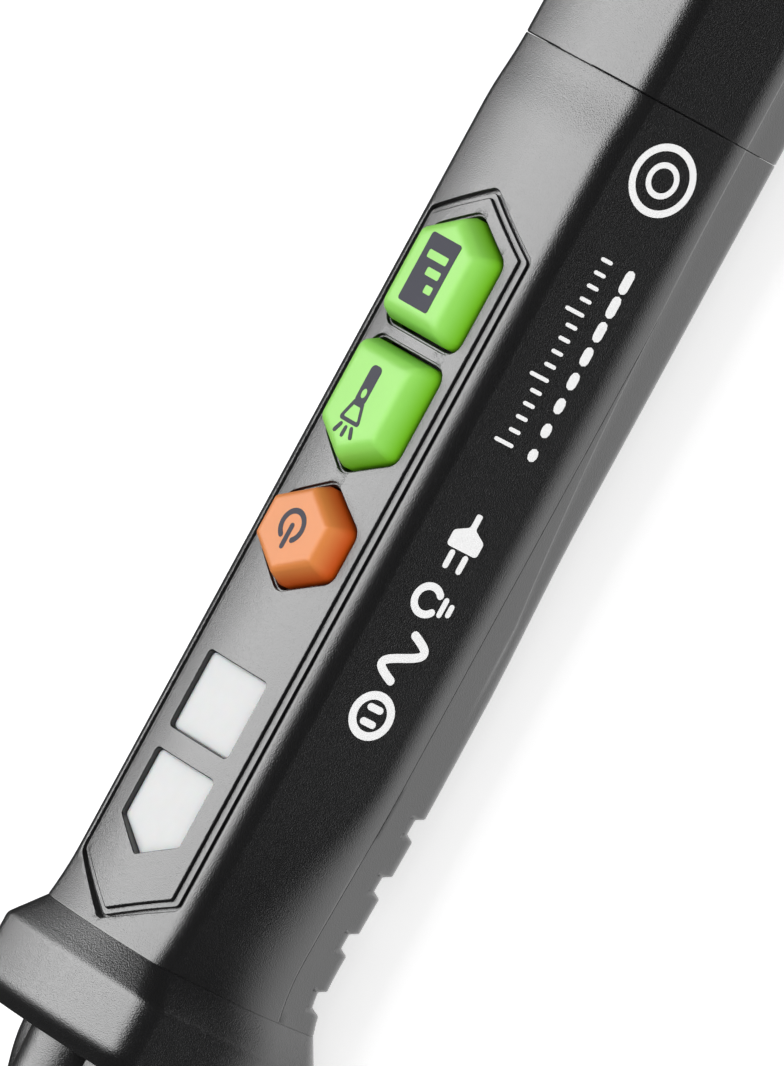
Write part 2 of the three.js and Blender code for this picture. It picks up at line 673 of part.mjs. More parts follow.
// ---------------------------------------------------------------- screws
function screw(s, y, zHead, zEnd) {
  const made = join(
    post(s, y, zHead, zHead + SCREW_HEAD_HEIGHT - FIT, SCREW_HEAD_RADIUS, 20),
    post(s, y, zHead + SCREW_HEAD_HEIGHT / 2, zEnd, SCREW_RADIUS, 12),
  );
  const arm = SCREW_HEAD_RADIUS * 0.65;
  const thin = 0.22;
  const lengthwise = block(s - arm, s + arm, y - thin, y + thin, zHead - 1, zHead + 0.5);
  const across = block(s - thin, s + thin, y - arm, y + arm, zHead - 1, zHead + 0.5);
  return cut(made, lengthwise, across);
}
const zScrewHead = zBack + FIT;
add("body_screw_left", screw(sScrew, -SCREW_OFFSET, zScrewHead, zBossEnd + 3.6), steel);
add("body_screw_right", screw(sScrew, SCREW_OFFSET, zScrewHead, zBossEnd + 3.6), steel);
add("clip_screw", screw(sClipScrew, 0, zClipSkin + FIT, zChannelRoof - FIT), steel);

// ---------------------------------------------------------------- finger guard
const GUARD = {
  ...BODY,
  top: zBodyTop + 1,
  topHalf: BODY.topHalf + 1.2,
  topRadius: 3.6,
  half: GUARD_WIDTH / 2,
  wide: zWidest + 1.5,
  draft: 0.16,
  bottom: 0,
  bottomRadius: 3.6,
};
const guardLoop = section(GUARD);
const spigotLoop = inset(bodySection(sBody + 6), WALL + FIT);
const guardOuter = loft([
  ring(sGuard + FIT, scaled(guardLoop, 0.9, zProbe)),
  ring(sGuard + 1.6, guardLoop),
  ring(sGuard + 5.6, guardLoop),
  ring(sBody - FIT, bodySection(sBody)),
]);
const guardBore = loft([ring(sGuard - 1, inset(spigotLoop, -FIT)), ring(sBody + 1, inset(spigotLoop, -FIT))]);
add("finger_guard", cut(guardOuter, guardBore), blackPlastic);

// ---------------------------------------------------------------- nose and probe
const noseRear = section({
  ...BODY,
  top: zProbe + 7.4,
  topHalf: 5,
  crown: 0.6,
  topRadius: 3,
  half: 8.8,
  wide: zProbe,
  bottom: zProbe - 7.4,
  bottomRadius: 3,
});
const noseFront = section({
  ...BODY,
  top: zProbe + 2.9,
  topHalf: 2.6,
  crown: 0.3,
  topRadius: 1.2,
  half: 4.5,
  wide: zProbe,
  draft: 0.3,
  bottom: zProbe - 2.9,
  bottomRadius: 0.6,
});
const taper = (t) => mixed(noseRear, noseFront, t);
const sTorchFace = sGuard - TORCH_LENGTH;
const zTorch = zProbe + 5.2;
const torchBore = TORCH_RADIUS - TORCH_WALL;
const noseOuter = join(
  loft([
    ring(PROBE_LENGTH + FIT, taper(1)),
    ring(PROBE_LENGTH + 5, taper(0.72)),
    ring(sGuard - 6, taper(0.25)),
    ring(sGuard - 2, taper(0.04)),
    ring(sGuard, taper(0)),
  ]),
  bar(sTorchFace, sGuard, zTorch, TORCH_RADIUS),
  loft([ring(sGuard - 0.4, spigotLoop), ring(sNoseSpigot, spigotLoop)]).subtract(
    slab(sRecess, sNoseSpigot + 1, BODY_WIDTH, zPanelUnder - LOOSE_FIT, zKeyTop),
  ),
);
const noseInside = join(
  loft([
    ring(PROBE_LENGTH - 1, scaled(taper(1), 0.7, zProbe)),
    ring(sGuard - 2, scaled(taper(0.04), 0.78, zProbe)),
    ring(sGuard + 1, scaled(taper(0), 0.8, zProbe)),
    ring(sNoseSpigot + 1, inset(spigotLoop, SPIGOT_WALL)),
  ]),
  bar(sTorchFace - 1, sGuard - 0.5, zTorch, torchBore),
);
add("nose_housing", cut(noseOuter, noseInside), blackPlastic);

const blade = loft([
  ring(0, scaled(taper(1), 0.5, zProbe)),
  ring(0.7, scaled(taper(1), 0.76, zProbe)),
  ring(2.2, scaled(taper(1), 0.88, zProbe)),
  ring(PROBE_LENGTH - FIT, taper(1)),
]);
const sSensor = 3.6;
const sSensorEnd = PROBE_LENGTH + 3;
const sensor = (s0, s1, grow) => {
  const half = SENSOR_THICKNESS / 2 + grow;
  return slab(s0, s1, SENSOR_WIDTH + 4 * grow, zProbe - half, zProbe + half);
};
add("probe_tip", cut(blade, sensor(sSensor - 0.5, PROBE_LENGTH + 1, FIT)), whitePlastic);
add("sensor_plate", sensor(sSensor, sSensorEnd, 0), copper);
add(
  "sensor_lead",
  wire(
    route([
      [sSensorEnd + 0.3, 0, zProbe],
      [sSensorEnd + 6, -1, zProbe - 0.4],
      [sGuard + 4, -2, zBoard - 2.4],
      [sBoard - 1.4, -4.6, zBoard - 1],
      [sBoard + 1.4, -5, zBoard - 0.8],
    ]),
    LEAD_RADIUS,
    16,
  ),
  copper,
);

// ---------------------------------------------------------------- torch
const sLens = sTorchFace + 0.4;
const torchFit = torchBore - FIT;
const lensProfile = [
  [0, sLens],
  [1.4, sLens + 0.15],
  [torchFit, sLens + 0.5],
  [torchFit, sLens + 1.4],
  [0, sLens + 1.4],
];
add("torch_lens", turned(lensProfile, zTorch, 24), clearPlastic);
const sCup = sLens + 1.5;
add(
  "torch_reflector",
  cut(
    bar(sCup, sCup + REFLECTOR_LENGTH, zTorch, torchFit),
    bar(sCup - FIT, sCup + REFLECTOR_LENGTH + FIT, zTorch, torchFit - 0.3, 24, 1.6),
  ),
  steel,
);
const sBulb = sCup + 1.2;
const bulbProfile = [
  [0, sBulb],
  [0.9, sBulb + 0.3],
  [1.3, sBulb + 1],
  [1.3, sCup + REFLECTOR_LENGTH + 0.3],
  [1.9, sCup + REFLECTOR_LENGTH + 0.3],
  [1.9, sCup + REFLECTOR_LENGTH + 1.3],
  [0, sCup + REFLECTOR_LENGTH + 1.3],
];
add("torch_led", turned(bulbProfile, zTorch, 16), clearPlastic);
add(
  "torch_lead",
  wire(
    route([
      [sCup + REFLECTOR_LENGTH + 1.6, 0, zTorch],
      [sGuard + 1, 1, zTorch - 1],
      [sBoard - 3, 3, zBoard - 1.6],
      [sBoard + 1.2, 4.4, zBoard - 0.8],
    ]),
    LEAD_RADIUS,
    12,
  ),
  copper,
);

export default tester;
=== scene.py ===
"""The finished surfaces of a pen-style non contact voltage tester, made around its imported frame.

Places are in millimetres in the frame's own axes: X runs from the sensing tip to the tail, Z is up and the
control panel faces up. Every finished piece stands at the origin with its place in its mesh, in metres.
"""

import math
from contextlib import contextmanager
from typing import NamedTuple

import bmesh
import bpy
from bpy.props import FloatProperty, FloatVectorProperty, PointerProperty
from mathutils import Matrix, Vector


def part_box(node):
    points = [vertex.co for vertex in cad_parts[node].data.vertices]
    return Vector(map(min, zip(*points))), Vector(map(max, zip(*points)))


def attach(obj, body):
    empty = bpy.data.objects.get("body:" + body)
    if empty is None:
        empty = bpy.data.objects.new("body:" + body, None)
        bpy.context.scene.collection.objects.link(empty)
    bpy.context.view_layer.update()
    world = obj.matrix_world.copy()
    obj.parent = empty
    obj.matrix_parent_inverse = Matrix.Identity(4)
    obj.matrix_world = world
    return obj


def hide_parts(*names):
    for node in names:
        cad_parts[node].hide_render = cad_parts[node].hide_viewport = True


bl_info = {
    "name": "Voltage tester",
    "version": (1, 0, 0),
    "blender": (4, 5, 0),
    "location": "3D View > Sidebar > Tester",
    "description": "Makes the finished pieces of a pen-style voltage tester around its frame",
    "category": "Add Mesh",
}

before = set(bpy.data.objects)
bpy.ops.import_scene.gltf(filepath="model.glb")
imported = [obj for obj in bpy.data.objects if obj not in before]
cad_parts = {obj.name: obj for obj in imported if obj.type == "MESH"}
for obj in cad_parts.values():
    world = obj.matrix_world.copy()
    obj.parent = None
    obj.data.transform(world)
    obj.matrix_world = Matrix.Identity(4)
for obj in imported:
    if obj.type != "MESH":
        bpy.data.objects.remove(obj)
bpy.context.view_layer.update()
MM = 0.001


# ---- sizes taken from the frame
def span(node):
    """The lowest and highest corner of a frame node, in millimetres."""
    low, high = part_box(node)
    return low / MM, high / MM


def middle(node):
    """Where a frame node's upright line stands, and its radius."""
    low, high = span(node)
    return (low.x + high.x) / 2, (low.y + high.y) / 2, (high.x - low.x) / 2


def span_between(node, z_low, z_high):
    """The corners of what a frame node has between two heights."""
    places = [v.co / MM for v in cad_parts[node].data.vertices]
    inside = [p for p in places if z_low <= p.z <= z_high]
    return Vector(map(min, zip(*inside))), Vector(map(max, zip(*inside)))


SHELL_LOW, SHELL_HIGH = span("front_shell")
PANEL_LOW, PANEL_HIGH = span("control_panel")
CAP_LOW, CAP_HIGH = span("end_cap")
GUARD_LOW, GUARD_HIGH = span("finger_guard")
TIP_LOW, TIP_HIGH = span("probe_tip")
CELL_LOW, CELL_HIGH = span("front_cell")
CLIP_LOW, CLIP_HIGH = span("pocket_clip")
MOUNT_LOW, MOUNT_HIGH = span("clip_mount")
LENS_LOW, LENS_HIGH = span("torch_lens")
KEY_TOP = span("power_key")[1].z

FIT = 0.1
WALL = 1.6
SPIGOT_WALL = 1.1
PANEL_RISE = 0.2
RECESS_DEPTH = 0.25
STRIPE_DEPTH = 0.1
MOAT_DEPTH = 0.42
MOAT_WIDTH = 0.36
CHANNEL = 0.95
LEDGE = 0.5
CROWN = 0.78
SPLIT_DROP = 1.75
CLIMB = 2.4
CLIMB_LENGTH = 18
FLARE = 0.8
FLARE_LENGTH = 5
FLARE_RISE = 0.6
SCOOP = 0.6
CAP_DIP = 0.5
CAP_DIP_LENGTH = 6.5
CORNER = 2.2
SIDE_LEAN = math.radians(80)
DRAFT = 0.2126
GROOVES = 4
GROOVE_START = 2.7
GROOVE_WIDTH = 1.8
GROOVE_PITCH = 5.4
GROOVE_DEPTH = 0.65
SEAL_LENGTH = 1.4
GUARD_SLOPE = 2.9
CAP_ROUNDING = 4
CAP_RIBS = 5
CAP_RIB_PITCH = 1.6
CLIP_THICKNESS = 1.3
SCREW_CORE = 0.72
SCREW_THREAD = 0.9
SCREW_PITCH = 0.45
REACH = 40
AIM = Vector((0, 0, 11 * MM))

X_BODY = SHELL_LOW.x
X_SPIGOT = SHELL_HIGH.x
X_CAP = CAP_LOW.x - 0.05
X_TAIL = CAP_HIGH.x
X_SEAL = X_CAP + 1.6
X_SCOOP = X_BODY + 29
Z_TOP = PANEL_HIGH.z - PANEL_RISE
Z_FLOOR = Z_TOP - RECESS_DEPTH
Z_SPLIT = SHELL_LOW.z - FIT / 2
Z_WIDEST = Z_SPLIT + SPLIT_DROP
Z_CELL = (CELL_LOW.z + CELL_HIGH.z) / 2
Z_BACK = CAP_LOW.z
Z_PROBE = (TIP_LOW.z + TIP_HIGH.z) / 2
Z_TORCH = (LENS_LOW.z + LENS_HIGH.z) / 2
TORCH_RADIUS = (LENS_HIGH.z - LENS_LOW.z) / 2
HALF = CAP_HIGH.y
TOP_HALF = PANEL_HIGH.y + CHANNEL
STRIPS = 8

# A rounded edge from its foot to its end, as shares of its radius inwards and down.
LIP = ((0, 1), (0.13, 0.5), (0.5, 0.13), (1.1, 0))

# A hexagon's point is this share of its half width long, and grows this much faster than its sides move out.
POINT = math.tan(math.pi / 6)
POINT_GROWTH = 1 / math.cos(math.pi / 6)


# ---- outlines
def smooth(t):
    t = min(1.0, max(0.0, t))
    return t * t * (3 - 2 * t)


def ramp(x, x0, x1, soft):
    """0 before x0 and 1 after x1, straight between them, with both corners rounded over soft."""

    def rise(t):
        return max(0.0, t) if abs(t) > soft else (t + soft) ** 2 / (4 * soft)

    return (rise(x - x0) - rise(x - x1)) / (x1 - x0)


def steps(start, end, count):
    """count places from start to end, both included."""
    return [start + (end - start) * i / (count - 1) for i in range(count)]


def mixed(first, second, t):
    """A loop part of the way from one loop to another."""
    return [(y + (v - y) * t, z + (w - z) * t) for (y, z), (v, w) in zip(first, second)]


def scaled(loop, share, z_middle):
    return [(y * share, z_middle + (z - z_middle) * share) for y, z in loop]


def rounded(points, radii, facets=5):
    """A closed outline whose corners are turned into arcs, each of facets + 1 points."""
    loop = []
    for i, corner in enumerate(points):
        here = Vector(corner)
        before = (Vector(points[i - 1]) - here).normalized()
        after = (Vector(points[(i + 1) % len(points)]) - here).normalized()
        half_angle = before.angle(after) / 2
        middle = here + (before + after).normalized() * radii[i] / math.sin(half_angle)
        start = here + before * radii[i] / math.tan(half_angle) - middle
        end = here + after * radii[i] / math.tan(half_angle) - middle
        turn = start.angle(end)
        for step in range(facets + 1):
            share = step / facets
            pull = math.sin(turn * (1 - share)) / math.sin(turn) * start
            loop.append(tuple(middle + pull + math.sin(turn * share) / math.sin(turn) * end))
    return loop


def divided(loop, count=6):
    """The same outline with each edge longer than a millimetre cut into count parts."""
    made = []
    for i, point in enumerate(loop):
        after = loop[(i + 1) % len(loop)]
        parts = count if math.dist(point, after) > 1 else 1
        made += [tuple(Vector(point).lerp(Vector(after), k / parts)) for k in range(parts)]
    return made


def pointed(x0, x1, half, radius, nose=True, tail=True, grow=0.0, least=0.03):
    """A long hexagon along X with rounded corners, square at an end that has no point. The corners' radius
    changes as it grows, down to the least."""

    def end(x, inward, side, has_point):
        x -= inward * grow * (POINT_GROWTH if has_point else 1)
        wide = half + grow
        corner = x + (inward * wide * POINT if has_point else 0)
        apex = [(x, 0)] if has_point else []
        return [(corner, side * wide), *apex, (corner, -side * wide)]

    corners = [*end(x0, 1, 1, nose), *end(x1, -1, -1, tail)]
    return rounded(corners, [max(least, radius + grow)] * len(corners))


class Section(NamedTuple):
    """The sizes of a cross-section, in millimetres."""

    top: float = Z_TOP
    top_half: float = TOP_HALF
    crown: float = CROWN
    top_radius: float = CORNER
    half: float = HALF
    widest: float = Z_WIDEST
    soft: float = 1.1
    draft: float = DRAFT
    ridge: float = Z_BACK + 2.5
    scoop: float = 0.0
    bottom: float = Z_BACK
    bottom_radius: float = CORNER


def section_loop(s):
    """The closed loop of a section as (y, z): crowned top, rounded corners, sides that lean out to the widest
    line and in again, a step inwards under a ridge, and rounded bottom corners."""
    half = [(s.top_half * i / STRIPS, s.top - s.crown * (i / STRIPS) ** 2) for i in range(STRIPS)]
    lean = math.atan2(2 * s.crown, s.top_half)
    y_top = s.top_half - s.top_radius * math.sin(lean)
    z_top = s.top - s.crown - s.top_radius * math.cos(lean)
    for a in steps(lean, SIDE_LEAN, 9):
        half.append((y_top + s.top_radius * math.sin(a), z_top + s.top_radius * math.cos(a)))

    def side(z):
        return s.half - s.draft * (s.widest - z)

    widest = Vector((s.half, s.widest))
    upper = Vector(half[-1])
    z_low = s.bottom + s.bottom_radius
    ridge = max(s.ridge, z_low + 0.6)
    lower = Vector((side(ridge + 0.3), ridge + 0.3))
    soft = min(s.soft, 0.8 * (upper - widest).length, 0.8 * (lower - widest).length)
    blend_start = widest + (upper - widest).normalized() * soft
    blend_end = widest + (lower - widest).normalized() * soft
    half += [tuple(upper.lerp(blend_start, t)) for t in (0.25, 0.5, 0.75)]
    for t in steps(0, 1, 7):
        half.append(tuple(blend_start.lerp(widest, t).lerp(widest.lerp(blend_end, t), t)))
    half += [tuple(blend_end.lerp(lower, t)) for t in (0.33, 0.66, 1)]
    for rise, share in ((0.1, 0.04), (-0.05, 0.25), (-0.25, 0.8), (-0.45, 1)):
        half.append((side(ridge + rise) - share * s.scoop, ridge + rise))
    angle = math.atan(s.draft)
    y_low = side(z_low) - s.scoop - s.bottom_radius / math.cos(angle)
    corner = [
        (y_low + s.bottom_radius * math.cos(a), z_low - s.bottom_radius * math.sin(a))
        for a in steps(angle, math.pi / 2, 9)
    ]
    ledge = Vector(half[-1])
    half += [tuple(ledge.lerp(Vector(corner[0]), t)) for t in (0.35, 0.7)]
    half += corner
    half += [(y_low * t, s.bottom) for t in (0.66, 0.33, 0)]
    return half + [(-y, z) for y, z in half[-2:0:-1]]


def shrunk(s, inward):
    """A section moved inwards, with its corners kept round."""
    return s._replace(
        top=s.top - inward,
        top_half=s.top_half - 0.6 * inward,
        top_radius=max(0.5, s.top_radius - 0.6 * inward),
        half=s.half - inward,
        bottom=s.bottom + inward,
        bottom_radius=max(0.5, s.bottom_radius - 0.6 * inward),
    )


def flare_at(x):
    """How far the body has flared on its way to the guard."""
    near = max(0, 1 - (x - X_BODY) / FLARE_LENGTH)
    return FLARE * near * near


def body_section(x):
    """The body's section at a place. It flares to meet the guard, where its widest line climbs and softens.
    Towards the tail its lower sides are scooped out below a climbing ridge, and its top dips to the cap."""
    flare = flare_at(x)
    grip = 1 - smooth((x - X_BODY - 4) / CLIMB_LENGTH)
    left = max(0, 1 - (x - X_SCOOP) / (X_CAP - X_SCOOP))
    return Section(
        top=Z_TOP + FLARE_RISE * flare - CAP_DIP * smooth((x - X_CAP + CAP_DIP_LENGTH) / CAP_DIP_LENGTH),
        half=HALF + flare,
        widest=Z_WIDEST + CLIMB * grip,
        soft=1.1 + 2.9 * grip,
        ridge=Z_CELL - 1.9 - 5 * left * left,
        scoop=SCOOP * smooth((x - X_SCOOP) / 18),
        bottom=Z_BACK - 0.5 * flare,
    )


def ring(x, loop):
    return [(x, y, z) for y, z in loop]


def round_ring(x, radius, z_middle, sides=48):
    """A circle round a line along X."""
    angles = [2 * math.pi * i / sides for i in range(sides)]
    return [(x, radius * math.cos(a), z_middle + radius * math.sin(a)) for a in angles]


def flat_ring(z, radius, x, y, sides=32):
    """A circle round an upright line."""
    angles = [2 * math.pi * i / sides for i in range(sides)]
    return [(x + radius * math.cos(a), y + radius * math.sin(a), z) for a in angles]


# ---- mesh tools
def select_nothing():
    if bpy.context.object and bpy.context.object.mode != "OBJECT":
        bpy.ops.object.mode_set(mode="OBJECT")
    bpy.ops.object.select_all(action="DESELECT")


def make_active(piece):
    select_nothing()
    piece.select_set(True)
    bpy.context.view_layer.objects.active = piece


@contextmanager
def editing(piece):
    """Edit mode on one piece, with all of it selected."""
    make_active(piece)
    bpy.ops.object.mode_set(mode="EDIT")
    bpy.ops.mesh.select_all(action="SELECT")
    yield
    bpy.ops.object.mode_set(mode="OBJECT")


def loft(name, rings):
    """A closed body through rings of as many points each: a filled circle shaped to the first ring, whose
    face is extruded to each next one."""
    select_nothing()
    corners = len(rings[0])
    bpy.ops.mesh.primitive_circle_add(vertices=corners, radius=MM, fill_type="NGON", enter_editmode=True)
    piece = bpy.context.object
    piece.name = piece.data.name = name
    end = list(bmesh.from_edit_mesh(piece.data).verts)
    for vertex, place in zip(end, rings[0]):
        vertex.co = Vector(place) * MM
    for places in rings[1:]:
        order = {tuple(vertex.co): i for i, vertex in enumerate(end)}
        bmesh.update_edit_mesh(piece.data)
        bpy.ops.mesh.extrude_region_move()
        mesh = bmesh.from_edit_mesh(piece.data)
        end = sorted((v for v in mesh.verts if v.select), key=lambda v: order[tuple(v.co)])
        for vertex, place in zip(end, places):
            vertex.co = Vector(place) * MM
    bmesh.update_edit_mesh(piece.data)
    bpy.ops.mesh.select_all(action="SELECT")
    bpy.ops.mesh.normals_make_consistent(inside=False)
    bpy.ops.object.mode_set(mode="OBJECT")
    return piece


def plate(name, layers):
    """A closed body through outlines in the XY plane, each given with its height."""
    return loft(name, [[(x, y, z) for x, y in outline] for outline, z in layers])


def box(name, x0, x1, y0, y1, z0, z1):
    outline = [(x0, y0), (x1, y0), (x1, y1), (x0, y1)]
    return plate(name, [(outline, z0), (outline, z1)])


def turned(name, profile, z_middle, sides=48):
    """A closed body turned round a line along X, from its (x, radius) profile."""
    return loft(name, [round_ring(x, radius, z_middle, sides) for x, radius in profile])


def upright(name, profile, x, y, sides=32):
    """A closed body turned round an upright line, from its (z, radius) profile."""
    return loft(name, [flat_ring(z, radius, x, y, sides) for z, radius in profile])


def apply_modifiers(piece):
    make_active(piece)
    for modifier in list(piece.modifiers):
        bpy.ops.object.modifier_apply(modifier=modifier.name)


def combine(piece, tool, operation="DIFFERENCE"):
    """Cuts, joins or trims a piece by another body, which is used up."""
    modifier = piece.modifiers.new("shape", "BOOLEAN")
    modifier.operation = operation
    modifier.solver = "EXACT"
    modifier.object = tool
    apply_modifiers(piece)
    bpy.data.objects.remove(tool)
    return piece


def cut(piece, *tools):
    for tool in tools:
        combine(piece, tool)
    return piece


def copied(piece, name):
    """A copy with a mesh of its own."""
    twin = piece.copy()
    twin.data = piece.data.copy()
    twin.name = twin.data.name = name
    bpy.context.collection.objects.link(twin)
    return twin


def joined(name, pieces):
    """Several meshes as one object."""
    make_active(pieces[0])
    for piece in pieces[1:]:
        piece.select_set(True)
    bpy.ops.object.join()
    bpy.context.object.name = bpy.context.object.data.name = name
    return bpy.context.object


def crown_height(y):
    return CROWN * (y / TOP_HALF) ** 2


def uncrowned(places):
    """Places lifted so that the crowned top lies flat while it is cut."""
    return [(x, y, z + crown_height(y)) for x, y, z in places]


def crown(piece):
    """Slices a piece into strips along X and lets them down onto the crowned top."""
    with editing(piece):
        for i in range(1 - STRIPS, STRIPS):
            bpy.ops.mesh.select_all(action="SELECT")
            place = (0, TOP_HALF * i / STRIPS * MM, 0)
            bpy.ops.mesh.bisect(plane_co=place, plane_no=(0, 1, 0), threshold=0.00001)
    return let_down(piece)


def let_down(piece):
    """Lowers a piece made on the flat top by as much as the crowned top falls away."""
    for vertex in piece.data.vertices:
        vertex.co.z -= crown_height(vertex.co.y / MM) * MM
    return piece


def clean(piece):
    """Merges doubled points and drops faces without area."""
    with editing(piece):
        bpy.ops.mesh.remove_doubles(threshold=0.000004)
        bpy.ops.mesh.dissolve_degenerate(threshold=0.000002)


def shade(piece, degrees=35):
    """Smooth shading with crisp edges, led by the large faces."""
    make_active(piece)
    bpy.ops.object.shade_smooth_by_angle(angle=math.radians(degrees))
    modifier = piece.modifiers.new("normals", "WEIGHTED_NORMAL")
    modifier.keep_sharp = True
    apply_modifiers(piece)


def wear(piece, maker):
    """Gives a piece one material all over."""
    piece.data.materials.clear()
    piece.data.materials.append(finish(maker))


def fit_out(piece, maker, body, *nodes, slot=None, degrees=35):
    """Shades a finished piece, gives it its material and puts it on its body in place of its frame nodes. The
    slot argument is not used."""
    shade(piece, degrees)
    if maker:
        wear(piece, maker)
        slot = slot or maker.__name__
    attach(piece, body)
    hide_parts(*nodes)


# ---- material tools
class Amount:
    """A number that varies over a surface. Arithmetic on it adds the Math nodes."""

    def __init__(self, finish, socket):
        self.finish = finish
        self.socket = socket

    def math(self, operation, *values):
        return self.finish.node("ShaderNodeMath", {"operation": operation}, dict(enumerate(values)))

    def __add__(self, other):
        return self.math("ADD", self, other)

    def __sub__(self, other):
        return self.math("SUBTRACT", self, other)

    def __rsub__(self, other):
        return self.math("SUBTRACT", other, self)

    def __mul__(self, other):
        return self.math("MULTIPLY", self, other)

    def __truediv__(self, other):
        return self.math("DIVIDE", self, other)

    def __gt__(self, other):
        return self.math("GREATER_THAN", self, other)

    def __lt__(self, other):
        return self.math("LESS_THAN", self, other)

    __radd__ = __add__
    __rmul__ = __mul__


class Finish:
    """A procedural material on a piece's own coordinates."""

    def __init__(self, name):
        self.material = bpy.data.materials.new(name)
        self.material.use_nodes = True
        self.tree = self.material.node_tree
        self.shader = self.tree.nodes["Principled BSDF"]

    def feed(self, socket, value):
        if isinstance(value, Amount):
            self.tree.links.new(value.socket, socket)
        else:
            socket.default_value = value

    def node(self, kind, settings=None, values=None, output=0):
        """A node with its settings made first and then its sockets' values or links."""
        made = self.tree.nodes.new(kind)
        for name, value in (settings or {}).items():
            if name == "stops":
                self.set_stops(made.color_ramp, value)
            else:
                setattr(made, name, value)
        for name, value in (values or {}).items():
            self.feed(made.inputs[name], value)
        return Amount(self, made.outputs[output])

    def set_stops(self, colour_ramp, stops):
        while len(colour_ramp.elements) < len(stops):
            colour_ramp.elements.new(1)
        for element, (place, colour) in zip(colour_ramp.elements, stops):
            element.position = place
            element.color = colour

    def set(self, **values):
        """Sets the shader's own sockets, named with underscores."""
        for name, value in values.items():
            self.feed(self.shader.inputs[name.replace("_", " ")], value)

    def coordinates(self):
        return self.node("ShaderNodeTexCoord", output="Object")

    def axis(self, letter):
        """The distance along one axis, in millimetres."""
        place = self.node("ShaderNodeSeparateXYZ", {}, {0: self.coordinates()}, output=letter)
        return place / MM

    def stretched(self, x, y, z):
        """The piece's coordinates stretched along its axes."""
        values = {0: self.coordinates(), 1: (x, y, z)}
        return self.node("ShaderNodeVectorMath", {"operation": "MULTIPLY"}, values)

    def noise(self, size, detail=3.0, coordinates=None):
        """Clouds of about a size in millimetres, from 0 to 1."""
        values = {"Scale": 1 / (size * MM), "Detail": detail, "Roughness": 0.6}
        values["Vector"] = coordinates or self.coordinates()
        return self.node("ShaderNodeTexNoise", {}, values)

    def blend(self, share, first, second):
        """A colour part of the way between two."""
        settings = {"data_type": "RGBA"}
        return self.node("ShaderNodeMix", settings, {0: share, 6: first, 7: second}, output=2)

    def between(self, value, low, high):
        """0 below low and 1 above high, smoothly."""
        values = {"Value": value, "From Min": low, "From Max": high}
        return self.node("ShaderNodeMapRange", {"interpolation_type": "SMOOTHSTEP"}, values)

    def relief(self, height, depth):
        """A surface relief of a depth in millimetres."""
        values = {"Height": height, "Distance": depth * MM, "Strength": 1.0}
        self.feed(self.shader.inputs["Normal"], self.node("ShaderNodeBump", {}, values))


def shaded(tone, share=1.0):
    """A colour with its alpha, made lighter or darker."""
    return (*(channel * share for channel in tone[:3]), 1.0)


def speckled(name, tones, cloud, dull, relief, **sockets):
    """A surface whose colour and roughness follow one cloud, given as its size, its detail and how it is
    stretched. dull is the least roughness and how much the cloud adds. relief is the size, detail and depth
    of the grain, where a size of 0 stands for the cloud itself."""
    made = Finish(name)
    size, detail, *stretch = cloud
    speck = made.noise(size, detail, made.stretched(*stretch) if stretch else None)
    made.set(Base_Color=made.blend(speck, shaded(tones[0]), shaded(tones[1])))
    made.set(Roughness=dull[0] + dull[1] * speck, **sockets)
    grain_size, grain_detail, depth = relief
    made.relief(made.noise(grain_size, grain_detail) if grain_size else speck, depth)
    return made.material


def black_plastic(name):
    """Satin moulded plastic with a fine spark texture."""
    look = bpy.context.scene.tester_finish
    made = Finish(name)
    patch = made.noise(6, 4)
    made.set(Base_Color=made.blend(patch, shaded(look.body_colour, 0.85), shaded(look.body_colour, 1.15)))
    made.set(Roughness=look.body_roughness - 0.04 + 0.08 * made.noise(0.5, 2))
    made.set(Specular_IOR_Level=look.body_shine)
    made.relief(made.noise(0.11, 1) + 0.4 * patch, look.grain_depth / MM)
    return made.material


def key_plastic(name, tone, deep):
    """Soft coloured key plastic with painted light and shade: its top is lighter and its sides grow darker
    towards the foot, as light falls on them.
    """
    made = Finish(name)
    # Painted shade: the colour goes from the painted side shade (deep) at the foot to the lit top colour at
    # the top.
    height = made.between(made.axis("Z"), PANEL_HIGH.z - 0.4, KEY_TOP - 0.1)
    main = made.blend(made.noise(2.5, 3), shaded(tone, 0.97), shaded(tone, 1.03))
    made.set(Base_Color=made.blend(height, shaded(deep), main))
    made.set(Roughness=0.42 + 0.08 * made.noise(0.3, 2), Specular_IOR_Level=0.3)
    made.relief(made.noise(0.14, 2), 0.006)
    return made.material


def orange_plastic(name):
    look = bpy.context.scene.tester_finish
    # The power key's lit top colour and the painted shade low on its sides.
    return key_plastic(name, look.power_colour, look.power_deep_colour)


def green_plastic(name):
    look = bpy.context.scene.tester_finish
    # The green keys' lit top colour and the painted shade low on their sides.
    return key_plastic(name, look.key_colour, look.key_deep_colour)


def white_diffuser(name):
    """Milky light-spreading plastic."""
    made = Finish(name)
    made.set(Base_Color=made.blend(made.noise(1.5, 3), (0.84, 0.85, 0.85, 1), (0.9, 0.9, 0.9, 1)))
    made.set(Roughness=0.4 + 0.06 * made.noise(0.4, 2), Specular_IOR_Level=0.08)
    made.set(Subsurface_Weight=0.2, Subsurface_Scale=0.001)
    made.relief(made.noise(0.35, 1), 0.003)
    return made.material


def clear_plastic(name):
    made = Finish(name)
    made.set(Base_Color=(0.95, 0.97, 0.98, 1), Transmission_Weight=0.9, IOR=1.49)
    made.set(Roughness=0.04 + 0.04 * made.noise(1.2, 2))
    made.relief(made.noise(0.8, 1), 0.002)
    return made.material


def metal(name, tone, stretch):
    """Drawn or stamped metal with fine lines."""
    tones = shaded(tone, 0.85), tone
    return speckled(name, tones, (0.2, 3, stretch, 1, 1), (0.22, 0.16), (0, 0, 0.003), Metallic=1.0)


def bright_steel(name):
    return metal(name, (0.72, 0.73, 0.74), 0.12)


def copper(name):
    return metal(name, (0.85, 0.42, 0.22), 0.1)


def insulated_lead(name):
    """Soft lead insulation."""
    tones = (0.32, 0.02, 0.02), (0.42, 0.04, 0.03)
    return speckled(name, tones, (0.8, 2), (0.45, 0.1), (0, 0, 0.004))


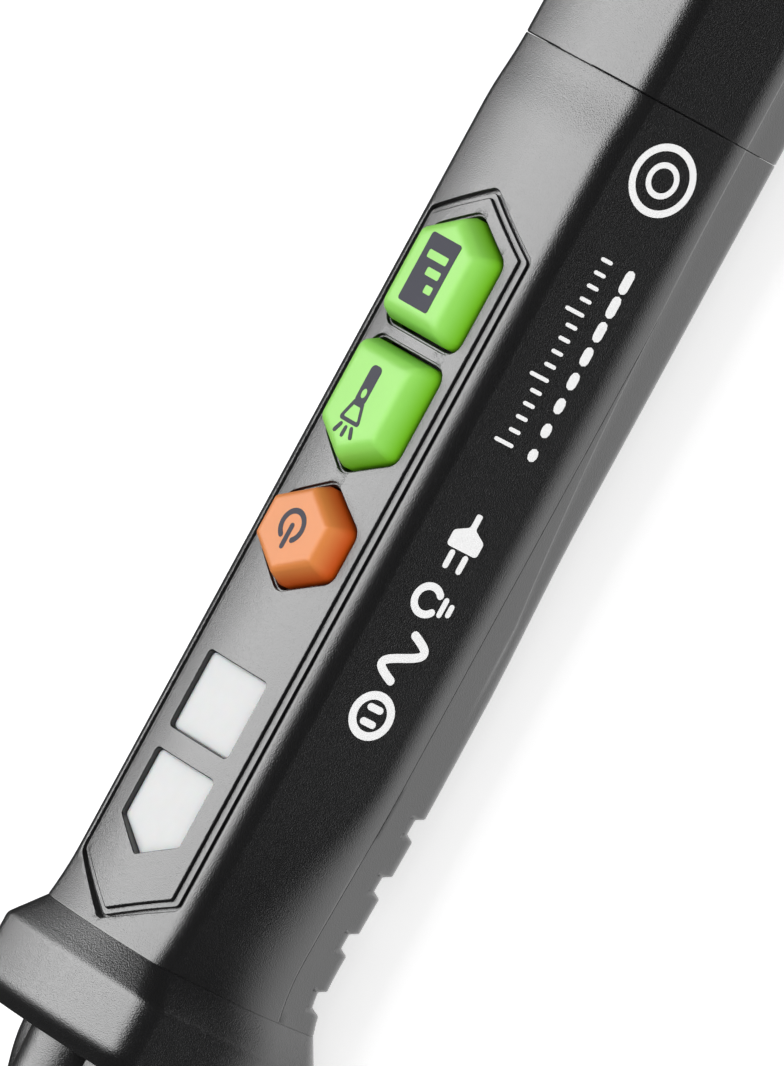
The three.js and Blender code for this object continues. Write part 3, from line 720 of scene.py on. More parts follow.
def circuit_board(name):
    """Solder mask over copper tracks, with bare pads."""
    made = Finish(name)
    cells = {"Scale": 1 / (1.6 * MM), "Vector": made.coordinates()}
    edges = {"feature": "DISTANCE_TO_EDGE", "distance": "CHEBYCHEV"}
    track = 1 - made.between(made.node("ShaderNodeTexVoronoi", edges, cells), 0.08, 0.12)
    spot = made.node("ShaderNodeTexVoronoi", {"distance": "MANHATTAN"}, cells)
    pad = 1 - made.between(spot, 0.14, 0.18)
    mask = made.blend(track, (0.008, 0.09, 0.03, 1), (0.02, 0.2, 0.07, 1))
    made.set(Base_Color=made.blend(pad, mask, (0.8, 0.62, 0.3, 1)))
    made.set(Metallic=pad, Roughness=0.3 + 0.15 * made.noise(0.6, 2))
    made.relief(track + pad, 0.03)
    return made.material


def chip_black(name):
    """Filled moulding compound."""
    tones = (0.012, 0.012, 0.012), (0.035, 0.035, 0.034)
    return speckled(name, tones, (0.12, 3), (0.5, 0.15), (0, 0, 0.008))


def natural_nylon(name):
    """Uncoloured moulded nylon with faint flow clouds."""
    tones = (0.72, 0.71, 0.66), (0.84, 0.83, 0.79)
    glow = {"Subsurface_Weight": 0.25, "Subsurface_Scale": 0.0015}
    return speckled(name, tones, (1.6, 4, 0.35, 1, 1), (0.34, 0.12), (0.2, 2, 0.006), **glow)


def rubber(name):
    tones = (0.015, 0.015, 0.015), (0.035, 0.035, 0.035)
    return speckled(name, tones, (0.25, 4), (0.7, 0.15), (0, 0, 0.015))


def cell_jacket(name):
    """A printed film jacket with a plain band at its positive end."""
    made = Finish(name)
    along = made.axis("X") - CELL_LOW.x
    place = along.math("FRACT", along / (CELL_HIGH.x - CELL_LOW.x + FIT))
    line = (place > 0.26) * (place < 0.275)
    film = made.blend(place < 0.26, (0.02, 0.05, 0.14, 1), (0.62, 0.3, 0.1, 1))
    made.set(Base_Color=made.blend(line, film, (0.8, 0.8, 0.8, 1)))
    made.set(Roughness=0.24 + 0.08 * made.noise(1.5, 3))
    made.relief(made.noise(4, 2), 0.02)
    return made.material


def ink(name, tone):
    """A thin printed film."""
    tones = shaded(tone, 0.94), tone
    return speckled(name, tones, (0.2, 3), (0.5, 0.1), (0, 0, 0.002), Specular_IOR_Level=0.12)


def print_ink(name):
    return ink(name, bpy.context.scene.tester_finish.print_colour)


def legend_ink(name):
    return ink(name, bpy.context.scene.tester_finish.legend_colour)


def finish(maker):
    """The material of a maker function, made the first time it is asked for."""
    name = f"tester_{maker.__name__}"
    return bpy.data.materials.get(name) or maker(name)


# ---- shells
def body_stations():
    ends = steps(X_BODY + 0.15, X_BODY + CLIMB_LENGTH + 4, 24)
    middle = steps(ends[-1], X_CAP - CAP_DIP_LENGTH, 18)
    return [*ends[:-1], *middle[:-1], *steps(middle[-1], X_CAP - 0.15, 9)]


def skin_section(x, inward):
    """The body's ring at a place, moved inwards. Past its ends the body goes on unchanged."""
    return ring(x, section_loop(shrunk(body_section(min(max(x, X_BODY), X_CAP)), inward)))


def body_skin():
    """Both shells in one, hollow, with the spigot that the cap slides over, and with its top laid flat."""
    seam = bpy.context.scene.tester_shape.seam / MM
    groove = WALL + 0.5
    seal_end = X_SEAL + SEAL_LENGTH
    outer = [(X_BODY, seam), *((x, 0) for x in body_stations()), (X_CAP, seam), (X_CAP, WALL)]
    outer += [(X_SEAL, WALL), (X_SEAL, groove), (seal_end, groove), (seal_end, WALL)]
    outer += [(X_SPIGOT - 0.3, WALL), (X_SPIGOT, WALL + 0.25)]
    inner = [(x, WALL) for x in (X_BODY - 1, X_BODY + FLARE_LENGTH, X_BODY + CLIMB_LENGTH)]
    inner.append((X_CAP - CAP_DIP_LENGTH, WALL))
    inner += [(X_CAP - 1, WALL + SPIGOT_WALL), (X_SPIGOT + 1, WALL + SPIGOT_WALL)]
    skin, bay = (
        loft(name, [uncrowned(skin_section(x, inward)) for x, inward in places])
        for name, places in (("body_skin", outer), ("bay", inner))
    )
    return cut(skin, bay)


def mouth(name, outline, z_low, z_high, edge, rise=0.0):
    """A tool for an opening with a rounded lip: outline is a function of how far it grows, and rise is the
    share of the body's flare that lifts the lip."""
    layers = [(outward * edge, z_high - down * edge) for outward, down in LIP[:-1]]
    layers += [(LIP[-1][0] * edge, z_high + 0.02), (2 * edge, z_high + 0.3), (2 * edge, z_high + 4)]
    rings = [[(x, y, z_low) for x, y in outline(0)]]
    rings += [[(x, y, z + rise * flare_at(x)) for x, y in outline(grow)] for grow, z in layers]
    return loft(name, rings)


def panel_hexagon(outset, radius, grow=0.0):
    """The panel's own hexagon moved outwards, and then grown with its corners."""
    x0, x1, half = PANEL_LOW.x - outset, PANEL_HIGH.x + outset, PANEL_HIGH.y + outset
    return pointed(x0, x1, half, radius, grow=grow)


def recess_outline(grow):
    return divided(panel_hexagon(CHANNEL, 0.9, grow))


def panel_outline(grow):
    return panel_hexagon(0, 0.3, grow)


def channel_tool(x0, x1):
    """The clip's channel along the back, with eased edges."""
    half = CLIP_HIGH.y + 0.8
    roof = MOUNT_HIGH.z + FIT
    mouth_z = Z_BACK + 0.15
    loop = [(half, roof), (half, mouth_z), (half + 0.25, mouth_z - 0.25), (half + 0.25, -REACH)]
    loop += [(-y, z) for y, z in reversed(loop)]
    return loft("channel", [ring(x0, loop), ring(x1, loop)])


def split_edge(piece, z, width):
    """Rounds the outer rim where a shell was split."""
    with editing(piece):
        bpy.ops.mesh.select_mode(type="EDGE")
        bpy.ops.mesh.select_all(action="DESELECT")
        for edge in bmesh.from_edit_mesh(piece.data).edges:
            ends = [vertex.co / MM for vertex in edge.verts]
            on_rim = all(abs(end.z - z) < 0.001 and X_BODY < end.x < X_CAP for end in ends)
            outside = on_rim and all(abs(end.y) > HALF - 0.5 * WALL - 0.8 for end in ends)
            if outside and edge.calc_face_angle(0) > 0.7:
                edge.select_set(True)
        bmesh.update_edit_mesh(piece.data)
        bpy.ops.mesh.bevel(offset=width * MM, segments=2, affect="EDGES")
        bpy.ops.mesh.select_mode(type="VERT")


def keep_between(shell, z_low, z_high):
    """Trims a shell to what lies between two heights."""
    combine(shell, box("half", -2 * REACH, 2 * REACH, -REACH, REACH, z_low, z_high), "INTERSECT")


def close_shell(shell, z_edge, node):
    """Finishes a shell's edge where it meets the other one, and puts it in its place."""
    clean(shell)
    split_edge(shell, z_edge, bpy.context.scene.tester_shape.seam / MM)
    fit_out(shell, black_plastic, "housing", node)


def make_front_shell(skin):
    shape = bpy.context.scene.tester_shape
    shell = copied(skin, "front_housing")
    moat = mouth("moat", recess_outline, Z_TOP - MOAT_DEPTH, Z_TOP, shape.edge / MM, FLARE_RISE)
    inner = recess_outline(-MOAT_WIDTH)
    rim = recess_outline(-MOAT_WIDTH - 0.05)
    stripe = Z_TOP - STRIPE_DEPTH
    island = [(inner, Z_TOP - 2), (inner, stripe - 0.05), (rim, stripe)]
    seat = panel_outline(0.03)
    opening = panel_hexagon(-LEDGE, 0.4)
    cut(
        shell,
        cut(moat, plate("island", island)),
        plate("seat", [(seat, Z_FLOOR), (seat, Z_TOP + 1)]),
        plate("opening", [(opening, Z_WIDEST), (opening, Z_TOP + 1)]),
    )
    crown(shell)
    z_edge = Z_SPLIT + shape.seam / MM / 2
    keep_between(shell, z_edge, REACH)
    close_shell(shell, z_edge, "front_shell")


def groove_tools():
    """Grip grooves that run round the back, with sloping ends."""
    tools = []
    half = GROOVE_WIDTH / 2 + 0.25
    for i in range(GROOVES):
        x = X_BODY + GROOVE_START + GROOVE_PITCH * i
        tool = box("groove", x - half, x + half, -REACH, REACH, -REACH, Z_BACK + 3)
        core = []
        for t in steps(-1.02, 1.02, 15):
            core.append(skin_section(x + half * t, GROOVE_DEPTH * smooth(2.2 * (1 - abs(t))) - 0.03))
        tools.append(cut(tool, loft("groove_core", core)))
    return tools


def screw_seat(node, z_face, widening, z_straight, z_head, z_end):
    """A tool for a counterbored screw hole with an eased mouth."""
    x, y, radius = middle(node)
    radius += FIT
    profile = [(-1, radius + widening), (z_face, radius + widening), (z_straight, radius)]
    return upright("seat", [*profile, (z_head, radius), (z_head, 1), (z_end, 1)], x, y)


def make_back_shell(skin):
    shell = let_down(copied(skin, "back_housing"))
    z_edge = Z_SPLIT - bpy.context.scene.tester_shape.seam / MM / 2
    keep_between(shell, -REACH, z_edge)
    x_holes = X_BODY + GROOVE_START + GROOVE_PITCH / 2
    cut(
        shell,
        channel_tool(CLIP_LOW.x - 1, X_TAIL + 1),
        *groove_tools(),
        *(
            screw_seat(node, Z_BACK - 0.05, 0.3, Z_BACK + 0.15, Z_BACK + 1.2, Z_SPLIT - 2)
            for node in ("body_screw_left", "body_screw_right")
        ),
        *(upright("sound_hole", [(-1, 0.5), (Z_BACK + 3, 0.5)], x_holes, y, 16) for y in (-2, 0, 2)),
    )
    close_shell(shell, z_edge, "back_shell")


# ---- panel, windows and keys
WINDOWS = ("high_alert_window", "low_alert_window")


class Key(NamedTuple):
    """One key: its name, where it is on the panel, which of its ends have a point, the least radius of its
    upright corners and the radius of its top edge."""

    name: str
    x0: float
    x1: float
    half: float
    nose: bool
    tail: bool
    corner: float
    soft: float


def read_key(name, nose, tail, corner, soft):
    low, high = span_between(f"{name}_key", PANEL_HIGH.z - 0.01, PANEL_HIGH.z + 0.01)
    return Key(name, low.x, high.x, high.y, nose, tail, corner, soft)


KEYS = [
    read_key("power", True, True, 0.3, 0.8),
    read_key("torch", True, False, 0.7, 1.3),
    read_key("sensitivity", False, True, 0.7, 1.3),
]
KEY_CORNER = 1.0
KEY_GAP = 0.25
KEY_SLOPE = 0.75
RIM_DEPTH = 0.3
RIM_WIDTH = 0.2
REBATE = 0.4


def key_outline(key, grow):
    return pointed(key.x0, key.x1, key.half, KEY_CORNER, key.nose, key.tail, grow, key.corner)


def window_outline(node, grow):
    low, high = span(node)
    nose = node == "high_alert_window"
    return pointed(low.x + REBATE, high.x - REBATE, high.y - REBATE, 0.45, nose, False, grow)


def make_panel():
    edge = bpy.context.scene.tester_shape.edge / MM
    top, ledge, rim = PANEL_HIGH.z, Z_FLOOR + FIT, PANEL_HIGH.z - RIM_DEPTH
    sides = [(-LEDGE - FIT, PANEL_LOW.z + 0.3), (-LEDGE - FIT, ledge), (0, ledge)]
    sides += [(-inward * edge, top - down * edge) for inward, down in LIP]
    panel = plate("control_panel_face", [(panel_outline(grow), z) for grow, z in sides])
    for node in WINDOWS:
        cut(panel, mouth("window", lambda g, n=node: window_outline(n, g), PANEL_LOW.z - 1, top, 0.13))
    for key in KEYS:
        cut(
            panel,
            mouth("hole", lambda g, k=key: key_outline(k, KEY_GAP + g), PANEL_LOW.z - 1, rim, 0.1),
            mouth("rim", lambda g, k=key: key_outline(k, KEY_GAP + RIM_WIDTH + g), rim, top, 0.1),
        )
    clean(crown(panel))
    fit_out(panel, black_plastic, "housing", "control_panel")


def make_windows():
    """Two milky windows, each a step-edged plate with a slightly domed face."""
    face = ((REBATE, -0.2), (-0.03, -0.15), (-0.05, 0), (-0.25, 0.06), (-0.9, 0.1))
    for node in WINDOWS:
        low, high = span(node)
        layers = [(REBATE, low.z), *((grow, high.z + rise) for grow, rise in face)]
        pane = plate(f"{node}_pane", [(window_outline(node, grow), z) for grow, z in layers])
        fit_out(pane, white_diffuser, "housing", node)


def key_profile(key):
    """How far the key's side comes in at each height above the panel, as (inward, z)."""
    corners = [(0, PANEL_HIGH.z), (KEY_SLOPE, KEY_TOP), (3, KEY_TOP), (3, PANEL_HIGH.z)]
    return rounded(corners, [0.01, key.soft, 0.01, 0.01], 7)[8:16]


def make_keys():
    for key in KEYS:
        low, high = span(f"{key.name}_key")
        sides = [(0, low.z), (0, PANEL_HIGH.z), *((-inward, z) for inward, z in key_profile(key))]
        sides.append((sides[-1][0] - 1, sides[-1][1] + 0.03))
        cap = plate(f"{key.name}_key_cap", [(key_outline(key, grow), z) for grow, z in sides])
        x0 = key.x0 + key.nose * key.half * POINT
        x1 = key.x1 - key.tail * key.half * POINT
        combine(cap, box("wings", x0, x1, low.y, high.y, low.z, low.z + 0.7), "UNION")
        maker = orange_plastic if key.name == "power" else green_plastic
        fit_out(cap, maker, f"{key.name}_button", f"{key.name}_key", degrees=50)


# ---- printed marks
def stroke(path, width, closed_ends=5):
    """The outline of a line of a width along a path, with round ends."""
    points = [Vector(p) for p in path]
    left, right = [], []
    for i, point in enumerate(points):
        before = points[max(0, i - 1)]
        after = points[min(len(points) - 1, i + 1)]
        along = (after - before).normalized()
        across = Vector((-along.y, along.x)) * width / 2
        left.append(tuple(point + across))
        right.append(tuple(point - across))

    def end(point, across_from, turn):
        start = Vector(across_from) - point
        made = []
        for i in range(1, closed_ends):
            a = turn * math.pi * i / closed_ends
            x = start.x * math.cos(a) - start.y * math.sin(a)
            y = start.x * math.sin(a) + start.y * math.cos(a)
            made.append((point.x + x, point.y + y))
        return made

    return left + end(points[-1], left[-1], -1) + right[::-1] + end(points[0], right[0], -1)


def arc(u, v, radius, start, end, count=24):
    """Places along an arc, its angles in degrees."""
    turns = [math.radians(a) for a in steps(start, end, count)]
    return [(u + radius * math.cos(a), v + radius * math.sin(a)) for a in turns]


def hoop(u, v, radius, width):
    """A full ring, as two outlines that meet."""
    made = []
    for start in (0, 180):
        outer = arc(u, v, radius + width / 2, start, start + 180)
        inner = arc(u, v, radius - width / 2, start + 180, start)
        made.append(outer + inner)
    return made


def tablet(u, v, long, high, radius):
    """A rectangle with round corners."""
    x, y = long / 2, high / 2
    corners = [(u - x, v - y), (u + x, v - y), (u + x, v + y), (u - x, v + y)]
    return rounded(corners, [radius] * 4)


def film(name, outlines, place, depth):
    """Thin printed shapes: place turns an outline's (u, v) and a height above the surface into a point."""
    pieces = []
    for outline in outlines:
        rings = [[place(u, v, height) for u, v in outline] for height in (-0.05, depth)]
        pieces.append(loft("mark", rings))
    return joined(name, pieces)


def legend_place(key, aside=0.0):
    """Turns marks about a key's middle onto its top."""
    x = (key.x0 + key.x1) / 2 + aside
    return lambda u, v, height: (x + u, v, KEY_TOP + 0.03 + height)


def put_legend(legend, key):
    fit_out(legend, legend_ink, f"{key.name}_button", slot="black_plastic")


def make_power_legend(key, depth):
    """A broken ring with a bar through its gap."""
    marks = [stroke(arc(0.25, 0, 1.28, 215, 505, 32), 0.5), stroke([(-1.6, 0), (0.25, 0)], 0.5)]
    put_legend(film("power_legend", marks, legend_place(key), depth), key)


def make_torch_legend(key, depth):
    """A hand torch with three rays."""
    place = legend_place(key, 0.3)
    lines = ((-3.15, 1.1, 0.72), (-3.25, 0.04, 0.0), (-3.15, -1.02, -0.68))
    rays = [stroke([(u, v), (u + 0.7, v_end)], 0.38, 3) for u, v, v_end in lines]
    outer = rounded([(-2.15, 1.4), (-0.1, 0.62), (-0.1, -0.62), (-2.15, -1.4)], [0.3] * 4)
    inner = rounded([(-1.8, 0.92), (-0.62, 0.44), (-0.62, -0.44), (-1.8, -0.92)], [0.12] * 4)
    head = film("torch_head", [outer], place, depth)
    cut(head, film("torch_glass", [inner], place, 1))
    handle = film("torch_handle", [tablet(1.3, 0, 3.5, 1.35, 0.5)], place, depth)
    oval = [(0.55 + 0.42 * math.cos(a), 0.3 * math.sin(a)) for a in steps(0, 1.9 * math.pi, 20)]
    cut(handle, film("torch_switch", [oval], place, 1))
    combine(head, handle, "UNION")
    put_legend(joined("torch_legend", [head, film("torch_rays", rays, place, depth)]), key)


def make_sensitivity_legend(key, depth):
    """A dark tablet with three rising bars left open."""
    place = legend_place(key, -0.5)
    tab = film("sensitivity_legend", [tablet(0, 0, 6.2, 3.9, 0.3)], place, depth)
    for i, high in enumerate((1.0, 1.8, 2.6)):
        cut(tab, film("bar", [tablet(-1.35 + 1.35 * i, -1.3 + high / 2, 0.72, high, 0.15)], place, 1))
    put_legend(tab, key)


def side_place(x, z):
    """Turns marks about (x, z) on the near side onto the side's slope."""
    upper_z, upper_y = Z_TOP - CROWN - 1.763, TOP_HALF + 1.678
    slope = (HALF - upper_y) / (upper_z - Z_WIDEST)

    def place(u, v, height):
        y = HALF - slope * (z + v - Z_WIDEST)
        return (x + u, -y - height, z + v)

    return place


def shifted(outlines, u):
    return [[(a + u, b) for a, b in outline] for outline in outlines]


def pictograms():
    """Outlines in a row: a round outlet with two openings, one turn of a sine wave, a lamp with an open globe
    over a cap of two bars, and a plug with two pins, a body and a lead."""
    outlet = [*hoop(0, 0, 1.75, 0.72), *(stroke([(u, -0.5), (u, 0.5)], 0.62) for u in (-0.65, 0.65))]
    wave = stroke([(u, -1.6 * math.sin(math.pi * u / 2.1)) for u in steps(-2.1, 2.1, 40)], 0.75)
    bars = [stroke([(-long, v), (long, v)], 0.5) for long, v in ((0.65, -1.05), (0.35, -1.8))]
    lamp = [stroke(arc(0, 0.6, 1.2, -50, 230, 30), 0.65), *bars]
    pins = [stroke([(-2.3, v), (-1.15, v)], 0.55) for v in (-0.7, 0.7)]
    half = [(-0.75, -1.6), (0.6, -1.6), (1.3, -0.3), (2.6, -0.3)]
    body = [*half, *((u, -v) for u, v in reversed(half))]
    plug = [*pins, rounded(body, [0.35, 0.4, 0.3, 0.2, 0.2, 0.3, 0.4, 0.35])]
    return shifted(outlet, -8.2) + shifted([wave], -2.9) + shifted(lamp, 2.2) + shifted(plug, 7.7)


def scale_marks():
    """A row of fifteen lines, every fifth one longer, over a row of eight dashes that grow."""
    marks = []
    for i in range(15):
        u, high = -8.4 + 1.2 * i, 0.9 if i % 5 else 1.7
        marks.append(stroke([(u, -0.8), (u, -0.8 + high)], 0.34, 3))
    for i in range(8):
        u, long = -8.4 + 2.2 * i, 0.25 + 0.14 * i
        marks.append(stroke([(u, -3.0), (u + long, -3.0)], 0.9, 4))
    return marks


def make_side_marks(depth):
    """Pictograms, scale marks and a target on the near side."""
    z = Z_WIDEST + 4.85
    target = hoop(0, 0, 2.8, 0.62) + hoop(0, 0, 1.3, 0.5)
    marks = [
        film("row", pictograms(), side_place(X_BODY + 34.0, z), depth),
        film("scale", scale_marks(), side_place(X_BODY + 58.8, z + 1.35), depth),
        film("target", target, side_place(X_CAP - 5.4, z), depth),
    ]
    fit_out(joined("side_marks", marks), print_ink, "housing", slot="white_diffuser")


# ---- guard, nose and torch
GUARD = Section(
    top=Z_TOP + 1.7, top_half=TOP_HALF + 1.8, top_radius=2.6,
    half=GUARD_HIGH.y, widest=Z_WIDEST + 1.5, soft=3, draft=0.16,
    bottom=0, bottom_radius=3.6,
)
NOSE_REAR = Section(
    top=Z_PROBE + 7.4, top_half=5, crown=0.6, top_radius=3,
    half=8.8, widest=Z_PROBE, soft=2.5,
    bottom=Z_PROBE - 7.4, bottom_radius=3,
)
NOSE_FRONT = Section(
    top=TIP_HIGH.z, top_half=2.6, crown=0.3, top_radius=1.2,
    half=TIP_HIGH.y, widest=Z_PROBE, soft=0.8, draft=0.3,
    bottom=TIP_LOW.z, bottom_radius=0.6,
)


def make_guard():
    guard_loop = section_loop(GUARD)
    body_loop = section_loop(body_section(X_BODY))
    x_front = GUARD_LOW.x
    x_rear = X_BODY - 0.02
    x_crest = x_rear - GUARD_SLOPE
    rings = []
    for x in [*steps(x_front, x_crest - 0.8, 20), *steps(x_crest - 0.4, x_rear, 24)]:
        face = ramp(x, x_front - 0.2, x_front + 1.5, 0.55)
        slope = ramp(x, x_crest, x_rear + 0.05, 0.3) if x < x_crest + 1 else (x - x_crest) / GUARD_SLOPE
        loop = scaled(guard_loop, 0.9 + 0.1 * face, Z_PROBE)
        rings.append(ring(x, mixed(loop, body_loop, slope)))
    rings.insert(0, ring(x_front, scaled(guard_loop, 0.885, Z_PROBE)))
    fit_out(loft("guard", rings), black_plastic, "housing", "finger_guard", degrees=45)


def nose_loop(x):
    """The nose's loop at a place, hollowed a little where it narrows to the probe."""
    u = (GUARD_LOW.x - FIT - x) / (GUARD_LOW.x - FIT - TIP_HIGH.x)
    u = min(1, max(0, u))
    return mixed(section_loop(NOSE_REAR), section_loop(NOSE_FRONT), u - u * (1 - u) ** 3)


def make_nose():
    x_front, x_rear = TIP_HIGH.x + 2 * FIT, GUARD_LOW.x + 1
    rings = [ring(x_front, scaled(nose_loop(x_front), 0.95, Z_PROBE))]
    rings += [ring(x, nose_loop(x)) for x in steps(x_front + 0.25, x_rear, 34)]
    nose = loft("nose", rings)
    bore = TORCH_RADIUS + FIT
    x_face = LENS_LOW.x - 0.4
    radius = bore + 0.9
    barrel = [(x_face, bore + 0.35), (x_face + 0.08, radius - 0.25), (x_face + 0.35, radius)]
    barrel += [(x_rear - 4, radius + 0.1), (x_rear, radius + 0.3)]
    combine(nose, turned("barrel", barrel, Z_TORCH), "UNION")
    bore_profile = [(x_face - 1, bore + 0.5), (x_face - 0.02, bore + 0.25), (x_face + 0.2, bore)]
    cut(nose, turned("bore", [*bore_profile, (x_rear - 2, bore)], Z_TORCH))
    ends = ((x_front - 1, x_front), (x_rear - 4, x_rear - 4))
    cut(nose, loft("core", [ring(x, scaled(nose_loop(x_loop), 0.7, Z_PROBE)) for x, x_loop in ends]))
    clean(nose)
    fit_out(nose, black_plastic, "housing", "nose_housing", degrees=40)


def make_probe():
    """The sensing tip, rounded towards its end, with a shoulder inside the nose."""
    loop = section_loop(NOSE_FRONT)
    rings = []
    for x in [TIP_LOW.x, *steps(TIP_LOW.x + 0.08, TIP_LOW.x + 3, 14), TIP_HIGH.x - 0.2]:
        along = x - TIP_LOW.x
        share = 1 - 0.38 * math.exp(-along / 0.55) - 0.12 * math.exp(-along / 6)
        rings.append(ring(x, scaled(loop, share, Z_PROBE)))
    for x, share in ((TIP_HIGH.x, 0.95), (TIP_HIGH.x, 0.66), (TIP_HIGH.x + 2, 0.66)):
        rings.append(ring(x, scaled(loop, share, Z_PROBE)))
    tip = loft("sensing_tip", rings)
    low, high = span("sensor_plate")
    sides = low.y - FIT, high.y + FIT, low.z - FIT, high.z + FIT
    cut(tip, box("slot", low.x - 0.2, high.x + 9, *sides))
    fit_out(tip, natural_nylon, "housing", "probe_tip", degrees=50)


def make_torch():
    x0, radius = LENS_LOW.x, TORCH_RADIUS
    dome = [(x0 + 0.5 * (r / radius) ** 2, r) for r in steps(0.15, radius - 0.1, 10)]
    lens = turned("torch_glass_dome", [*dome, (x0 + 0.6, radius), (LENS_HIGH.x, radius)], Z_TORCH)
    fit_out(lens, clear_plastic, "housing", "torch_lens", degrees=40)
    cup_low, cup_high = span("torch_reflector")
    cup = turned("torch_cup", [(cup_low.x, radius), (cup_high.x, radius)], Z_TORCH)
    long = cup_high.x - cup_low.x + 2 * FIT
    rear = cup_high.x + FIT
    bowl = [(rear - long * t, 1.6 + (radius - 1.85) * math.sqrt(t)) for t in steps(0, 1, 12)]
    cut(cup, turned("bowl", bowl, Z_TORCH))
    fit_out(cup, bright_steel, "housing", "torch_reflector", degrees=40)
    bulb_low, bulb_high = span("torch_led")
    turns = steps(0, math.pi / 2, 9)
    dome = [(bulb_low.x + 1.3 * (1 - math.cos(a)), 0.08 + 1.22 * math.sin(a)) for a in turns]
    flange = bulb_high.x - 1
    profile = [*dome, (flange, 1.3), (flange, 1.9), (bulb_high.x, 1.9)]
    bulb = turned("torch_bulb", profile, Z_TORCH, 32)
    fit_out(bulb, clear_plastic, "housing", "torch_led", degrees=40)


# ---- cap, clip, screws and cells
def make_cap():
    mouth_section = body_section(X_CAP)
    outer = section_loop(mouth_section)

    def share(x):
        taper = 1 - 0.012 * smooth((x - X_CAP) / (X_TAIL - CAP_ROUNDING - X_CAP))
        turn = max(0.0, (x - X_TAIL + CAP_ROUNDING) / CAP_ROUNDING)
        return taper - 0.19 * (1 - math.cos(math.pi / 2 * turn))

    x_front = CAP_LOW.x
    x_turn = X_TAIL - CAP_ROUNDING
    rings = [skin_section(x_front, 0.1)]
    stations = [*steps(x_front + 0.12, x_turn, 12), *steps(x_turn + 0.3, X_TAIL, 14)]
    rings += [ring(x, scaled(outer, share(x), Z_CELL)) for x in stations]
    rings.append(ring(X_TAIL, scaled(outer, share(X_TAIL) * 0.97, Z_CELL)))
    cap = loft("tail_cap", rings)
    socket = section_loop(shrunk(mouth_section, WALL - FIT))
    bore = (CELL_HIGH.z - CELL_LOW.z) / 2 + 0.25
    cut(
        cap,
        loft("socket", [ring(x_front - 1, socket), ring(X_SPIGOT + 0.25, socket)]),
        turned("bore", [(X_SPIGOT - 1, bore), (X_TAIL - WALL, bore)], Z_CELL),
        channel_tool(x_front - 1, X_TAIL + 1),
    )
    for i in range(CAP_RIBS):
        x = X_TAIL - 18 + CAP_RIB_PITCH * i
        for side in (-1, 1):
            y = side * (HALF + 0.35)
            ends = ((Z_CELL - 4, y + side * 0.1), (Z_CELL + 6, y - side * 1.1))
            cut(cap, loft("rib", [flat_ring(z, 0.55, x, y_end, 16) for z, y_end in ends]))
    clean(cap)
    fit_out(cap, black_plastic, "cap", "end_cap", degrees=40)


def clip_plate(name, outline, edge):
    """An outline in the XZ plane given the clip's width and rounded edges."""
    piece = loft(name, [[(x, y, z) for x, z in outline] for y in (-CLIP_HIGH.y, CLIP_HIGH.y)])
    modifier = piece.modifiers.new("edges", "BEVEL")
    modifier.width = edge * MM
    modifier.segments = 3
    modifier.limit_method = "ANGLE"
    modifier.angle_limit = math.radians(50)
    apply_modifiers(piece)
    return piece


def make_clip():
    x0, x1, thick = CLIP_LOW.x, CLIP_HIGH.x, CLIP_THICKNESS
    gap = MOUNT_HIGH.z + FIT - thick
    corners = [
        (x1, MOUNT_LOW.z), (x1 - 4, 0), (x0 + 1.6, 0), (x0, 0.6 * thick),
        (x0, thick + 0.4 * gap), (x0 + 2, thick + 0.8 * gap), (x0 + 4.6, thick),
        (x1 - 5, thick), (x1, CLIP_HIGH.z),
    ]
    arm = clip_plate("clip_arm", rounded(corners, [0.03, 6, 1.2, 0.5, 0.35, 0.8, 2.0, 3, 0.03], 6), 0.3)
    fit_out(arm, black_plastic, "clip", "pocket_clip", degrees=40)
    (x0, _, z0), (x1, _, z1) = MOUNT_LOW, MOUNT_HIGH
    outline = rounded([(x0, z0), (x1, z0), (x1, z1), (x0, z1)], [0.03, 0.6, 0.2, 0.03])
    foot = clip_plate("clip_foot", outline, 0.2)
    cut(foot, screw_seat("clip_screw", z0, 0.2, z0 + 0.15, z0 + 1.1, z1 + 1))
    fit_out(foot, black_plastic, "cap", "clip_mount", degrees=40)


def make_screw(name, node, body):
    """A cross-headed screw, head down, with its thread as turned rings."""
    low, high = span(node)
    x, y, radius = middle(node)
    head = low.z + 1.0
    profile = [(low.z, radius - 0.5), (low.z + 0.08, radius - 0.2), (low.z + 0.28, radius)]
    profile += [(head - 0.2, radius), (head, radius - 0.15), (head, SCREW_CORE)]
    z = head + 0.3
    while z < high.z - 0.5:
        profile += [(z, SCREW_CORE), (z + 0.17, SCREW_THREAD), (z + 0.24, SCREW_THREAD)]
        z += SCREW_PITCH
    screw = upright(name, [*profile, (high.z - 0.4, 0.7), (high.z, 0.35)], x, y, 24)
    arm, thin = radius * 0.62, 0.2
    for u, v in ((arm, thin), (thin, arm)):
        top = [(x - u, y - v), (x + u, y - v), (x + u, y + v), (x - u, y + v)]
        deep = [(x + 0.55 * (a - x), y + 0.55 * (b - y)) for a, b in top]
        cut(screw, plate("drive", [(top, low.z - 1), (top, low.z + 0.1), (deep, low.z + 0.6)]))
    fit_out(screw, bright_steel, body, node)


